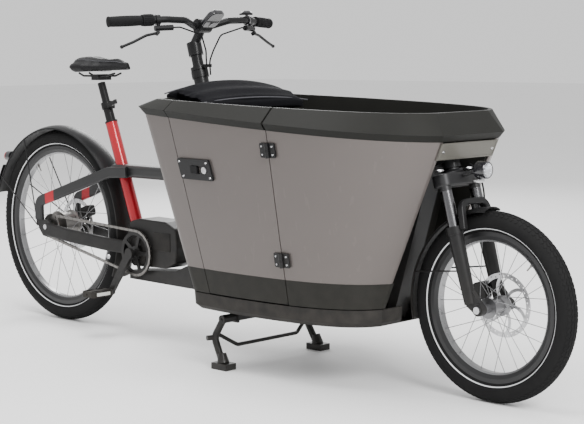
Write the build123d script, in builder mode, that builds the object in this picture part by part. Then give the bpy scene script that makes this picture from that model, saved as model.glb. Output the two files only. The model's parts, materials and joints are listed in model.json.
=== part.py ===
from build123d import *
import math
import os

# Front-loading cargo bicycle with a pedal-assist motor and a child door in its box.
# Millimetres. X points forward, Y to the rider's left, Z up. The origin is on the
# ground, midway between the rearmost and the foremost point. Stations along the
# bicycle are measured from the rear axle, and at() turns them into this frame.

# ---- driving dimensions -------------------------------------------------------
WHEELBASE = 1915
REAR_TYRE_R = 343
REAR_BEAD_R = 279.5
FRONT_TYRE_R = 265
FRONT_BEAD_R = 203
TYRE_W = 60
TYRE_WALL = 4
HEAD_ANGLE = 74
FORK_LENGTH = 366
FORK_RAKE = 38.7
BOX_HALF_WIDTH = 345
RIM_FLARE = 15
HANDLEBAR_HALF = 345
CRANK_LENGTH = 170
CHAINRING_R = 73
SADDLE_LENGTH = 275

# ---- fits and clearances ------------------------------------------------------
RUN_FIT = 0.05
SEAT_GAP = 0.3
SEAM = 3

# ---- rear mudguard, which reaches furthest back -------------------------------
GUARD_R = 367
GUARD_WALL = 3
GUARD_BACK = 15
GUARD_DROP = 8
FLAP_R = 377.5
FLAP_END = 162
REAR_REACH = GUARD_BACK - FLAP_R * math.cos(math.radians(FLAP_END))
REAR_X = -(WHEELBASE + FRONT_TYRE_R - REAR_REACH) / 2

os.makedirs("parts", exist_ok=True)


def at(x, y, z):
    """A point from its distance ahead of the rear axle, its side and its height."""
    return Vector(REAR_X + x, y, z)


def save(piece, name):
    """Label a finished sub-part and write it as its own file."""
    piece.part.label = name
    export_step(piece.part, "parts/" + name + ".step")


def rod(p, q, radius, mode=Mode.ADD):
    """A straight round bar from p to q."""
    run = Vector(q) - Vector(p)
    with BuildSketch(Plane(origin=p, z_dir=run)) as section:
        Circle(radius)
    extrude(section.sketch, amount=run.length, mode=mode)


def taper(p, q, r_start, r_end, mode=Mode.ADD):
    """A round bar whose radius changes from p to q."""
    run = Vector(q) - Vector(p)
    with BuildSketch(Plane(origin=p, z_dir=run)) as first:
        Circle(r_start)
    with BuildSketch(Plane(origin=q, z_dir=run)) as last:
        Circle(r_end)
    loft([first.sketch.faces()[0], last.sketch.faces()[0]], mode=mode)


def turned(points, centre, axis, radial, mode=Mode.ADD, angle=360):
    """A turned piece; points are (distance along the axis, radius)."""
    plane = Plane(origin=centre, x_dir=axis, z_dir=Vector(axis).cross(Vector(radial)))
    with BuildSketch(plane) as section:
        with BuildLine():
            Polyline(*points, close=True)
        make_face()
    revolve(section.sketch, axis=Axis(centre, axis), revolution_arc=angle, mode=mode)


def side_plate(points, y_low, y_high, mode=Mode.ADD):
    """A plate whose outline is given as (station, height), between two sides."""
    plane = Plane(origin=at(0, y_low, 0), x_dir=(1, 0, 0), z_dir=(0, -1, 0))
    with BuildSketch(plane) as outline:
        with BuildLine():
            Polyline(*points, close=True)
        make_face()
    extrude(outline.sketch, amount=y_low - y_high, mode=mode)


def swept_rod(points, radii, radius, mode=Mode.ADD):
    """A round bar bent along points, with an arc at each corner."""
    with BuildLine() as path:
        FilletPolyline(*points, radius=radii)
    with BuildSketch(Plane(origin=path.line @ 0, z_dir=path.line % 0)) as section:
        Circle(radius)
    sweep(section.sketch, path=path.line, mode=mode)


def swept_bar(points, radii, width, height, corner, mode=Mode.ADD):
    """A rounded rectangular bar bent along points; height is measured in Z."""
    with BuildLine() as path:
        FilletPolyline(*points, radius=radii)
    start = path.line % 0
    side = Vector(0, 0, 1).cross(start).normalized()
    with BuildSketch(Plane(origin=path.line @ 0, x_dir=side, z_dir=start)) as section:
        RectangleRounded(width, height, corner)
    sweep(section.sketch, path=path.line, mode=mode)


Y_AXIS = (0, 1, 0)
UP = (0, 0, 1)
REAR_AXLE = at(0, 0, REAR_TYRE_R)
FRONT_AXLE = at(WHEELBASE, 0, FRONT_TYRE_R)


# ---- wheels -------------------------------------------------------------------
RIM_HALF = 17.5
RIM_FLANGE = 2.5
RIM_LIP = 6
RIM_DEPTH = 22
RIM_INNER_HALF = 9
SPOKE_R = 1.0
SPOKES = 28
SPOKE_SWEEP = 48
FLANGE_T = 3
THRU_AXLE_R = 6
ROTOR_R = 90
ROTOR_BAND = 14
ROTOR_T = 1.8


def make_tyre(name, centre, bead_r, tyre_r):
    """A hollow tyre, open towards the rim, with its beads inside the rim's flanges."""
    height = tyre_r - bead_r
    middle = bead_r + height / 2
    flange_in = RIM_HALF - RIM_FLANGE
    bead_out = flange_in - SEAT_GAP
    bead_in = bead_out - TYRE_WALL
    with BuildPart() as tyre:
        plane = Plane(origin=centre, x_dir=Y_AXIS, z_dir=(1, 0, 0))
        with BuildSketch(plane) as section:
            with Locations((0, middle)):
                Ellipse(TYRE_W / 2, height / 2)
                Ellipse(TYRE_W / 2 - TYRE_WALL, height / 2 - TYRE_WALL, mode=Mode.SUBTRACT)
            with Locations((0, bead_r + RIM_LIP)):
                Rectangle(2 * bead_out, 2 * RIM_LIP)
                Rectangle(2 * bead_in, 3 * RIM_LIP + TYRE_WALL, mode=Mode.SUBTRACT)
            for side in (-1, 1):
                with Locations((side * (flange_in + RIM_HALF / 2 - SEAT_GAP), bead_r)):
                    Rectangle(RIM_HALF, 2 * RIM_LIP + 2 * SEAT_GAP, mode=Mode.SUBTRACT)
            with Locations((0, bead_r - RIM_LIP)):
                Rectangle(TYRE_W, 2 * RIM_LIP + SEAT_GAP, mode=Mode.SUBTRACT)
        revolve(axis=Axis(centre, Y_AXIS))
    save(tyre, name)


def make_rim(name, centre, bead_r, flange_r, flange_y):
    """A rim with its spokes laced to the two hub flanges."""
    inner_r = bead_r - RIM_DEPTH
    flange_in = RIM_HALF - RIM_FLANGE
    with BuildPart() as rim:
        points = [
            (-RIM_HALF, bead_r + RIM_LIP),
            (-flange_in, bead_r + RIM_LIP),
            (-flange_in, bead_r),
            (-RIM_INNER_HALF, bead_r - RIM_LIP),
            (RIM_INNER_HALF, bead_r - RIM_LIP),
            (flange_in, bead_r),
            (flange_in, bead_r + RIM_LIP),
            (RIM_HALF, bead_r + RIM_LIP),
            (RIM_HALF, bead_r - RIM_LIP),
            (RIM_INNER_HALF, inner_r),
            (-RIM_INNER_HALF, inner_r),
            (-RIM_HALF, bead_r - RIM_LIP),
        ]
        turned(points, centre, Y_AXIS, UP)
        for number in range(SPOKES):
            side = 1 if number % 2 else -1
            lean = 1 if number % 4 < 2 else -1
            angle = math.radians(360 * number / SPOKES)
            root = angle + lean * math.radians(SPOKE_SWEEP)
            root_r = flange_r + SPOKE_R + SEAT_GAP
            root_y = side * (flange_y + lean * 1.6)
            start = Vector(root_r * math.cos(root), root_y, root_r * math.sin(root))
            end_r = inner_r + 2
            end = Vector(end_r * math.cos(angle), side * 3, end_r * math.sin(angle))
            rod(centre + start, centre + end, SPOKE_R)
    save(rim, name)


def make_hub(name, centre, shell_r, flange_r, flange_y, half, rotor_y, sprocket_y=None):
    """A hub shell with two spoke flanges, a rotor seat and, at the rear, a sprocket."""
    bore = THRU_AXLE_R + RUN_FIT
    cap_r = THRU_AXLE_R + 7
    with BuildPart() as hub:
        points = [
            (-half, bore),
            (-half, cap_r),
            (-flange_y - FLANGE_T / 2, cap_r),
            (-flange_y - FLANGE_T / 2, flange_r),
            (-flange_y + FLANGE_T / 2, flange_r),
            (-flange_y + FLANGE_T * 2, shell_r),
            (flange_y - FLANGE_T * 2, shell_r),
            (flange_y - FLANGE_T / 2, flange_r),
            (flange_y + FLANGE_T / 2, flange_r),
            (flange_y + FLANGE_T / 2, ROTOR_HUB_R),
            (rotor_y - ROTOR_T / 2, ROTOR_HUB_R),
            (rotor_y - ROTOR_T / 2, ROTOR_BORE_R - RUN_FIT),
            (rotor_y + ROTOR_T / 2, ROTOR_BORE_R - RUN_FIT),
            (rotor_y + ROTOR_T / 2, cap_r),
            (half, cap_r),
            (half, bore),
        ]
        turned(points, centre, Y_AXIS, UP)
        if sprocket_y is not None:
            disc = [
                (sprocket_y - SPROCKET_T / 2, bore + 2),
                (sprocket_y - SPROCKET_T / 2, SPROCKET_R),
                (sprocket_y + SPROCKET_T / 2, SPROCKET_R),
                (sprocket_y + SPROCKET_T / 2, bore + 2),
            ]
            turned(disc, centre, Y_AXIS, UP)
    save(hub, name)


def make_rotor(name, centre, rotor_y):
    """A brake disc with six arms, a drilled band and a bolt circle."""
    arms = 6
    holes = 36
    band_r = ROTOR_R - ROTOR_BAND
    with BuildPart() as rotor:
        face = Plane(origin=centre + Vector(0, rotor_y + ROTOR_T / 2, 0), x_dir=(1, 0, 0),
                     z_dir=(0, 1, 0))
        with BuildSketch(face):
            Circle(ROTOR_R)
            Circle(band_r, mode=Mode.SUBTRACT)
            Circle(ROTOR_HUB_R)
            for number in range(arms):
                turn = 360 * number / arms
                with BuildLine(mode=Mode.PRIVATE) as arm:
                    ThreePointArc(
                        Vector(ROTOR_HUB_R - 3, 0).rotate(Axis.Z, turn),
                        Vector(52, 6).rotate(Axis.Z, turn),
                        Vector(band_r + 3, 0).rotate(Axis.Z, turn + 24),
                    )
                trace(arm.line, line_width=9)
            Circle(ROTOR_BORE_R, mode=Mode.SUBTRACT)
            with PolarLocations((ROTOR_R + band_r) / 2 + 2.5, holes // 2):
                Circle(2.2, mode=Mode.SUBTRACT)
            with PolarLocations((ROTOR_R + band_r) / 2 - 2.5, holes // 2, start_angle=360 / holes):
                Circle(2.2, mode=Mode.SUBTRACT)
            with PolarLocations(22, 6):
                Circle(2.6, mode=Mode.SUBTRACT)
        extrude(amount=-ROTOR_T)
    save(rotor, name)


ROTOR_HUB_R = 27
ROTOR_BORE_R = 17.5
SPROCKET_R = 40
SPROCKET_T = 6
FRONT_FLANGE_Y = 28
FRONT_FLANGE_R = 29
FRONT_HUB_SHELL_R = 22
FRONT_DROPOUT_Y = 55
FRONT_ROTOR_Y = 43
REAR_FLANGE_Y = 30
REAR_FLANGE_R = 52
REAR_HUB_SHELL_R = 46
REAR_DROPOUT_Y = 72
REAR_ROTOR_Y = 57
CHAINLINE = 58

make_tyre("rear_tyre", REAR_AXLE, REAR_BEAD_R, REAR_TYRE_R)
make_rim("rear_rim_and_spokes", REAR_AXLE, REAR_BEAD_R, REAR_FLANGE_R, REAR_FLANGE_Y)
make_hub("rear_gear_hub", REAR_AXLE, REAR_HUB_SHELL_R, REAR_FLANGE_R, REAR_FLANGE_Y,
         REAR_DROPOUT_Y - SEAT_GAP, REAR_ROTOR_Y, -CHAINLINE)
make_rotor("rear_brake_rotor", REAR_AXLE, REAR_ROTOR_Y)
make_tyre("front_tyre", FRONT_AXLE, FRONT_BEAD_R, FRONT_TYRE_R)
make_rim("front_rim_and_spokes", FRONT_AXLE, FRONT_BEAD_R, FRONT_FLANGE_R, FRONT_FLANGE_Y)
make_hub("front_hub", FRONT_AXLE, FRONT_HUB_SHELL_R, FRONT_FLANGE_R, FRONT_FLANGE_Y,
         FRONT_DROPOUT_Y - SEAT_GAP, FRONT_ROTOR_Y)
make_rotor("front_brake_rotor", FRONT_AXLE, FRONT_ROTOR_Y)


# ---- the box's shape in plan ---------------------------------------------------
# Half the outline at its top edge and at its base: (station, half-width).
BOX_TOP = [(812, 320), (1050, BOX_HALF_WIDTH - 3), (1300, BOX_HALF_WIDTH), (1550, 318),
           (1740, 238), (1829, 127)]
BOX_BASE = [(952, 256), (1100, 266), (1300, 262), (1450, 240), (1560, 190), (1615, 118)]
BOX_BASE_Z = 240
BAND_TOP_Z = 315
BOX_REAR_X = 850
BOX_FRONT_X = 1829
EDGE_Z = (775, 718)
FLARE_Z = (797, 737)
LIP_Z = (822, 795)
REAR_CORNER_R = 45
FRONT_CORNER_R = 14
PANEL_T = 4
LINER_GAP = 0.4
LINER_T = 7
RIM_DEPTH_IN = 40
RIM_LIP_OUT = 26
CHANNEL_HALF = 108
CHANNEL_TOP_Z = 742
CHANNEL_REAR = (1557, 1700)
FLOOR_BEAM_Z = (187, 237)


def sloped(heights):
    """A plane across the box, given its height at the rear and at the front edge."""
    run = Vector(BOX_FRONT_X - BOX_REAR_X, 0, heights[1] - heights[0]).normalized()
    normal = Vector(-run.Z, 0, run.X)
    return Plane(origin=at(BOX_REAR_X, 0, heights[0]), x_dir=run, z_dir=normal)


def outline(plan, plane, grow):
    """The box's outline on a plane, grown outwards by a margin."""
    rear = [(plan[0][0] - BOX_REAR_X - grow, plan[0][1] + grow)]
    middle = [(x - BOX_REAR_X, half + grow) for x, half in plan[1:-1]]
    front = [(plan[-1][0] - BOX_REAR_X + grow, plan[-1][1] + grow / 2)]
    left = rear + middle + front
    right = [(x, -half) for x, half in left]
    with BuildSketch(plane) as shape:
        with BuildLine():
            Spline(*left)
            Line(left[-1], right[-1])
            Spline(*right[::-1])
            Line(right[0], left[0])
        make_face()
        corners = shape.vertices()
        fillet(corners.sort_by(Axis.X)[:2], REAR_CORNER_R)
        corners = shape.vertices()
        fillet(corners.sort_by(Axis.X)[-2:], FRONT_CORNER_R)
    return shape.sketch.faces()[0]


def box_block(heights, top_grow, base_z, base_grow):
    """A solid with the box's tapered shape, between a sloped top and a level base."""
    top = outline(BOX_TOP, sloped(heights), top_grow)
    base = outline(BOX_BASE, Plane.XY.offset(base_z).shift_origin(at(BOX_REAR_X, 0, base_z)),
                   base_grow)
    return loft([base, top], ruled=True, mode=Mode.PRIVATE)


def channel_x(z):
    """The station of the recess's back wall, behind the head tube, at a height."""
    share = (z - BOX_BASE_Z) / (EDGE_Z[1] - BOX_BASE_Z)
    return CHANNEL_REAR[0] + share * (CHANNEL_REAR[1] - CHANNEL_REAR[0])


# ---- front end: steering axis, fork, head tube ---------------------------------
LEAN = math.radians(HEAD_ANGLE)
DOWN = Vector(math.cos(LEAN), 0, -math.sin(LEAN))
AHEAD = Vector(math.sin(LEAN), 0, math.cos(LEAN))
CROWN = FRONT_AXLE - DOWN * FORK_LENGTH - AHEAD * FORK_RAKE
LEG_Y = 65
LEG_AHEAD = 13
STANCHION_R = 16
STANCHION_END = 270
LOWER_R = 20
LOWER_COLLAR_R = 24
LOWER_TOP = 130
LOWER_END = 345
LOWER_BORE_END = 335
CROWN_HALF = 83
CROWN_TOP = -18
CROWN_BOTTOM = 18
STEERER_R = 14.3
STEERER_TOP = -140
CUP_R = 25
CUP_HEIGHT = 12
HEAD_BOTTOM = -34
HEAD_TOP = -126
HEAD_TUBE_R = 24
HEAD_BORE_R = 19
ARCH_AHEAD = 45
ARCH_TOP = 70
ARCH_T = 18
PULLEY_R = 30
PULLEY_T = 9
MAST_HALF = 30
MAST_DEPTH = 34
MAST_FOOT_Z = FLOOR_BEAM_Z[0] + 3
MAST_LUG_Z = (650, 728)


def on_fork(down, ahead, side):
    """A point from its distance below the crown, ahead of the steering axis and aside."""
    return CROWN + DOWN * down + AHEAD * ahead + Vector(0, side, 0)


def steering_x(z):
    """The steering axis's station at a height."""
    return CROWN.X - REAR_X - (z - CROWN.Z) / math.tan(LEAN)


def lathe_on_fork(points, mode=Mode.ADD):
    """A piece turned about the steering axis; points are (distance down, radius)."""
    turned(points, CROWN, DOWN, Y_AXIS, mode=mode)


LAMP_R = 24
LAMP_BOSS_R = 5
LAMP_DOWN = -6
LAMP_AHEAD = 84
YOKE_AHEAD = 62
YOKE_ARM = 38
YOKE_T = 7
YOKE_HALF = LAMP_R + 3 + SEAT_GAP + YOKE_T / 2
LAMP_PIVOT = on_fork(LAMP_DOWN, LAMP_AHEAD, 0)
with BuildPart() as fork_upper:
    crown_plane = Plane(origin=on_fork(CROWN_TOP, 0, 0), x_dir=AHEAD, z_dir=DOWN)
    with BuildSketch(crown_plane):
        with Locations((5, 0)):
            RectangleRounded(56, 2 * CROWN_HALF, 22)
        with Locations((-26, LEG_Y - 5), (-26, 5 - LEG_Y)):
            Circle(12, mode=Mode.SUBTRACT)
    extrude(amount=CROWN_BOTTOM - CROWN_TOP)
    fillet(fork_upper.edges().group_by(SortBy.LENGTH)[-1], 5)
    for side in (-LEG_Y, LEG_Y):
        rod(on_fork(CROWN_BOTTOM - 2, LEG_AHEAD, side), on_fork(STANCHION_END, LEG_AHEAD, side),
            STANCHION_R)
    rod(on_fork(CROWN_TOP + 2, 0, 0), on_fork(STEERER_TOP, 0, 0), STEERER_R)
    lathe_on_fork([(STEERER_TOP, 0), (STEERER_TOP, 17), (HEAD_TOP - CUP_HEIGHT - SEAT_GAP, 17),
                   (HEAD_TOP - CUP_HEIGHT - SEAT_GAP, 0)])
    lathe_on_fork([(CROWN_TOP - PULLEY_T - 1, 0), (CROWN_TOP - PULLEY_T - 1, PULLEY_R),
                   (CROWN_TOP - PULLEY_T / 2 - 1, PULLEY_R - 3), (CROWN_TOP - 1, PULLEY_R),
                   (CROWN_TOP - 1, 20), (CROWN_TOP + 1, 20), (CROWN_TOP + 1, 0)])
    lathe_on_fork([(HEAD_BOTTOM + SEAT_GAP, 0), (HEAD_BOTTOM + SEAT_GAP, 18),
                   (CROWN_TOP - PULLEY_T, 18), (CROWN_TOP - PULLEY_T, 0)])
    # the yoke that carries the headlight
    with BuildSketch(Plane(origin=on_fork(LAMP_DOWN - YOKE_T / 2, 0, 0), x_dir=AHEAD, z_dir=DOWN)) as yoke:
        with Locations((YOKE_AHEAD - YOKE_ARM / 2, 0)):
            Rectangle(YOKE_ARM, 16)
        with Locations((YOKE_AHEAD, 0)):
            Rectangle(YOKE_T, 2 * YOKE_HALF + YOKE_T)
        with Locations(((YOKE_AHEAD + LAMP_AHEAD + YOKE_T) / 2, -YOKE_HALF),
                       ((YOKE_AHEAD + LAMP_AHEAD + YOKE_T) / 2, YOKE_HALF)):
            Rectangle(LAMP_AHEAD - YOKE_AHEAD + YOKE_T, YOKE_T)
    extrude(yoke.sketch, amount=YOKE_T)
save(fork_upper, "fork_crown_and_stanchions")

with BuildPart() as fork_lower:
    for side in (-1, 1):
        leg_y = side * LEG_Y
        taper(on_fork(LOWER_TOP, LEG_AHEAD, leg_y), on_fork(LOWER_END, LEG_AHEAD, leg_y),
              LOWER_R + 2, LOWER_R - 3)
        rod(on_fork(LOWER_TOP, LEG_AHEAD, leg_y), on_fork(LOWER_TOP + 22, LEG_AHEAD, leg_y),
            LOWER_COLLAR_R)
        boss_in = side * (FRONT_DROPOUT_Y + SEAT_GAP)
        boss_out = side * (FRONT_DROPOUT_Y + 20)
        rod(FRONT_AXLE + Vector(0, boss_in, 0), FRONT_AXLE + Vector(0, boss_out, 0), 17)
        web = Plane(origin=CROWN + Vector(0, boss_in, 0), x_dir=DOWN, z_dir=(0, side, 0))
        ahead_sign = -side
        with BuildSketch(web) as dropout:
            with BuildLine():
                Polyline(
                    (LOWER_END - 45, ahead_sign * (LEG_AHEAD - 12)),
                    (LOWER_END - 45, ahead_sign * (LEG_AHEAD + 12)),
                    (FORK_LENGTH - 16, ahead_sign * (FORK_RAKE + 10)),
                    (FORK_LENGTH + 14, ahead_sign * (FORK_RAKE + 6)),
                    (FORK_LENGTH + 14, ahead_sign * (FORK_RAKE - 10)),
                    (LOWER_END + 4, ahead_sign * (LEG_AHEAD - 12)),
                    close=True,
                )
            make_face()
        extrude(dropout.sketch, amount=16)
    arch_points = [
        on_fork(LOWER_TOP + 12, ARCH_AHEAD, -LEG_Y),
        on_fork(ARCH_TOP, ARCH_AHEAD, -LEG_Y + 12),
        on_fork(ARCH_TOP, ARCH_AHEAD, LEG_Y - 12),
        on_fork(LOWER_TOP + 12, ARCH_AHEAD, LEG_Y),
    ]
    with BuildLine() as arch_path:
        FilletPolyline(*arch_points, radius=26)
    arch_start = Plane(origin=arch_path.line @ 0, x_dir=AHEAD, z_dir=arch_path.line % 0)
    with BuildSketch(arch_start) as arch_section:
        RectangleRounded(ARCH_T, ARCH_T, 5)
    sweep(arch_section.sketch, path=arch_path.line)
    for side in (-LEG_Y, LEG_Y):
        rod(on_fork(LOWER_TOP, LEG_AHEAD, side), on_fork(LOWER_BORE_END, LEG_AHEAD, side),
            STANCHION_R + RUN_FIT, mode=Mode.SUBTRACT)
    rod(FRONT_AXLE - Vector(0, 90, 0), FRONT_AXLE + Vector(0, 90, 0), THRU_AXLE_R + RUN_FIT,
        mode=Mode.SUBTRACT)
save(fork_lower, "fork_lower_legs")

AXLE_HEAD_T = 6
with BuildPart() as front_axle:
    front_axle_out = FRONT_DROPOUT_Y + 20
    turned([(-front_axle_out - AXLE_HEAD_T, 0), (-front_axle_out - AXLE_HEAD_T, 10),
            (-front_axle_out, 10), (-front_axle_out, THRU_AXLE_R),
            (front_axle_out, THRU_AXLE_R), (front_axle_out, 9),
            (front_axle_out + AXLE_HEAD_T, 9), (front_axle_out + AXLE_HEAD_T, 0)],
           FRONT_AXLE, Y_AXIS, UP)
save(front_axle, "front_axle")


def make_caliper(name, axle, centre, rotor_y, back, mount_y, mount_point):
    """A two-piston brake caliper that straddles the rotor, with its mounting arm."""
    gap = ROTOR_T / 2 + 0.6
    with BuildPart() as caliper:
        face = Plane(origin=centre + Vector(0, rotor_y - 15, 0), x_dir=back, z_dir=(0, 1, 0))
        with BuildSketch(face) as body:
            RectangleRounded(50, 38, 9)
        extrude(body.sketch, amount=30)
        fillet(caliper.edges().group_by(Axis.Y)[-1], 3)
        fillet(caliper.edges().group_by(Axis.Y)[0], 3)
        arm_start = centre + Vector(0, mount_y, 0)
        rod(arm_start, mount_point, 6)
        rod(centre + Vector(0, rotor_y + 10, 0), arm_start + Vector(0, 5, 0), 8)
        turned([(rotor_y - gap, 0), (rotor_y - gap, ROTOR_R + 1.5), (rotor_y + gap, ROTOR_R + 1.5),
                (rotor_y + gap, 0)], axle, Y_AXIS, UP, mode=Mode.SUBTRACT)
    save(caliper, name)


with BuildPart() as head_mast:
    lathe_on_fork([(HEAD_TOP, HEAD_BORE_R), (HEAD_TOP, HEAD_TUBE_R),
                   (HEAD_BOTTOM - CUP_HEIGHT, HEAD_TUBE_R), (HEAD_BOTTOM - CUP_HEIGHT, CUP_R),
                   (HEAD_BOTTOM, CUP_R), (HEAD_BOTTOM, STEERER_R + RUN_FIT),
                   (HEAD_BOTTOM - CUP_HEIGHT, STEERER_R + RUN_FIT),
                   (HEAD_BOTTOM - CUP_HEIGHT, HEAD_BORE_R)])
    lathe_on_fork([(HEAD_TOP - CUP_HEIGHT, STEERER_R + RUN_FIT), (HEAD_TOP - CUP_HEIGHT, CUP_R),
                   (HEAD_TOP + 2, CUP_R), (HEAD_TOP + 2, STEERER_R + RUN_FIT)])

    # a tube runs from behind the head tube down to the floor beam
    side_plate([
        (channel_x(MAST_FOOT_Z) + SEAM, MAST_FOOT_Z),
        (channel_x(MAST_FOOT_Z) + MAST_DEPTH, MAST_FOOT_Z),
        (channel_x(MAST_LUG_Z[0]) + MAST_DEPTH, MAST_LUG_Z[0] - 12),
        (steering_x(MAST_LUG_Z[0]) - 8, MAST_LUG_Z[0] + 4),
        (steering_x(MAST_LUG_Z[1]) - 8, MAST_LUG_Z[1]),
        (channel_x(MAST_LUG_Z[1]) + SEAM, MAST_LUG_Z[1]),
    ], -MAST_HALF, MAST_HALF)
    lathe_on_fork([(HEAD_TOP + 1, 0), (HEAD_TOP + 1, HEAD_BORE_R),
                   (HEAD_BOTTOM - CUP_HEIGHT - 1, HEAD_BORE_R), (HEAD_BOTTOM - CUP_HEIGHT - 1, 0)],
                  mode=Mode.SUBTRACT)
    rod(on_fork(HEAD_BOTTOM + 20, 0, 0), on_fork(HEAD_TOP - CUP_HEIGHT - 20, 0, 0),
        STEERER_R + RUN_FIT, mode=Mode.SUBTRACT)
save(head_mast, "head_tube_and_mast")

# ---- front mudguard, caliper and headlight ---------------------------------------
FRONT_GUARD_R = 276
FRONT_GUARD_HALF = 36
FRONT_GUARD_FROM = 92
FRONT_GUARD_TO = 193
STAY_R = 2.2


def guard_section(centre, outer_r, half, wall, start, end):
    """A mudguard with turned-down edges, between two angles above the front."""
    inner = outer_r - wall
    lip = 14
    direction = Vector(math.cos(math.radians(start)), 0, math.sin(math.radians(start)))
    plane = Plane(origin=centre, x_dir=Y_AXIS, z_dir=Vector(Y_AXIS).cross(direction))
    with BuildSketch(plane) as section:
        with BuildLine():
            Line((-half, outer_r - lip), (-half, outer_r - 9))
            ThreePointArc((-half, outer_r - 9), (0, outer_r), (half, outer_r - 9))
            Line((half, outer_r - 9), (half, outer_r - lip))
            Line((half, outer_r - lip), (half - wall, outer_r - lip))
            Line((half - wall, outer_r - lip), (half - wall, inner - 9))
            ThreePointArc((half - wall, inner - 9), (0, inner), (wall - half, inner - 9))
            Line((wall - half, inner - 9), (wall - half, outer_r - lip))
            Line((wall - half, outer_r - lip), (-half, outer_r - lip))
        make_face()
    revolve(section.sketch, axis=Axis(centre, (0, -1, 0)), revolution_arc=end - start)


def on_wheel(centre, radius, angle, side):
    """A point round a wheel, from its radius, its angle above the front and its side."""
    turn = math.radians(angle)
    return centre + Vector(radius * math.cos(turn), side, radius * math.sin(turn))


with BuildPart() as front_guard:
    guard_section(FRONT_AXLE, FRONT_GUARD_R, FRONT_GUARD_HALF, GUARD_WALL,
                  FRONT_GUARD_FROM, FRONT_GUARD_TO)
    for side in (-1, 1):
        rod(on_wheel(FRONT_AXLE, FRONT_GUARD_R - 11, 163, side * (FRONT_GUARD_HALF - 1)),
            on_fork(LOWER_TOP + 120, LEG_AHEAD - LOWER_R + SEAT_GAP, side * LEG_Y), STAY_R)
    rod(on_fork(ARCH_TOP + ARCH_T / 2 + SEAT_GAP, ARCH_AHEAD, 0),
        on_fork(ARCH_TOP + ARCH_T / 2 + 13, ARCH_AHEAD, 0), 8)
save(front_guard, "front_mudguard")
make_caliper("front_brake_caliper", FRONT_AXLE, on_wheel(FRONT_AXLE, 80, 155, 0),
             FRONT_ROTOR_Y, DOWN, LEG_Y,
             on_fork(FORK_LENGTH - 78, LEG_AHEAD - LOWER_R - 4, LEG_Y))

LAMP_DEPTH = 42
with BuildPart() as lamp:
    lens = LAMP_PIVOT + Vector(16, 0, 4)
    turned([(-LAMP_DEPTH, 0), (-LAMP_DEPTH, LAMP_R - 12), (-LAMP_DEPTH + 14, LAMP_R),
            (0, LAMP_R), (0, LAMP_R - 3), (-3, LAMP_R - 3), (-3, 0)],
           lens + Vector(14, 0, 0), (1, 0, 0), UP)
    rod(LAMP_PIVOT - Vector(0, LAMP_R + 3, 0), LAMP_PIVOT + Vector(0, LAMP_R + 3, 0), LAMP_BOSS_R)
save(lamp, "headlight")

# ---- rear mudguard, stays and tail light ------------------------------------------
GUARD_HALF = 38
GUARD_FRONT_END = -24
GUARD_REAR_END = 163
FLAP_START = 146
FLAP_WALL = 5
TAIL_R = 19
TAIL_ANGLE = 143
GUARD_CENTRE = REAR_AXLE + Vector(-GUARD_BACK, 0, -GUARD_DROP)
with BuildPart() as rear_guard:
    guard_section(GUARD_CENTRE, GUARD_R, GUARD_HALF, GUARD_WALL, GUARD_FRONT_END, GUARD_REAR_END)
    for side in (-1, 1):
        for angle in (118, 152):
            rod(on_wheel(GUARD_CENTRE, GUARD_R - 10, angle, side * (GUARD_HALF + 1)),
                at(-50, side * (REAR_DROPOUT_Y + 12), 345), STAY_R)
    # the flap behind, held on its spacer
    flap_plane = Plane(origin=GUARD_CENTRE, x_dir=Y_AXIS,
                       z_dir=Vector(Y_AXIS).cross(on_wheel(Vector(), 1, FLAP_START, 0)))
    with BuildSketch(flap_plane) as flap_section:
        with Locations((0, FLAP_R - FLAP_WALL / 2)):
            RectangleRounded(2 * GUARD_HALF - 8, FLAP_WALL, 2)
    revolve(flap_section.sketch, axis=Axis(GUARD_CENTRE, (0, -1, 0)),
            revolution_arc=FLAP_END - FLAP_START)
    rod(on_wheel(GUARD_CENTRE, GUARD_R - 1, FLAP_START + 7, 0),
        on_wheel(GUARD_CENTRE, FLAP_R - 1, FLAP_START + 7, 0), 6)
save(rear_guard, "rear_mudguard")

with BuildPart() as tail_light:
    base = on_wheel(GUARD_CENTRE, GUARD_R + 1, TAIL_ANGLE, 0)
    lamp_centre = base + Vector(-16, 0, 20)
    rod(base, on_wheel(GUARD_CENTRE, GUARD_R + 20, TAIL_ANGLE, 0), 6)
    turned([(-14, 0), (-14, TAIL_R), (10, TAIL_R), (16, TAIL_R - 6), (16, 0)],
           lamp_centre, (-1, 0, 0), UP)
save(tail_light, "tail_light")

# ---- cargo box ---------------------------------------------------------------------
DOOR_FRONT_X = 1378
DOOR_REAR_TOP = (952, 800)
DOOR_REAR_BASE = (1054, 240)
DOOR_INNER_Y = -150
FLOOR_T = 10
FLOOR_INSET = 26
RIM_SEAM = 7


def base_outline(rise, grow):
    """The box's plan at its base, at a height above the base."""
    z = BOX_BASE_Z + rise
    return outline(BOX_BASE, Plane.XY.offset(z).shift_origin(at(BOX_REAR_X, 0, z)), grow)


def door_wedge(gap, z_low, z_high):
    """The region that the door takes out of the box's right side."""
    lean = (DOOR_REAR_TOP[0] - DOOR_REAR_BASE[0]) / (DOOR_REAR_TOP[1] - DOOR_REAR_BASE[1])
    low = DOOR_REAR_BASE[0] + (z_low - DOOR_REAR_BASE[1]) * lean
    high = DOOR_REAR_BASE[0] + (z_high - DOOR_REAR_BASE[1]) * lean
    side_plate([(low + gap, z_low), (DOOR_FRONT_X - gap, z_low), (DOOR_FRONT_X - gap, z_high),
                (high + gap, z_high)], -500, DOOR_INNER_Y)


def channel(margin):
    """The recess in the box's front, which the fork and the head tube stand in."""
    low = BOX_BASE_Z - 80
    top = CHANNEL_TOP_Z + margin
    side_plate([(channel_x(low) - margin, low), (BOX_FRONT_X + 200, low),
                (BOX_FRONT_X + 200, top), (channel_x(top) - margin, top)],
               -CHANNEL_HALF - margin, CHANNEL_HALF + margin)


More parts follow.
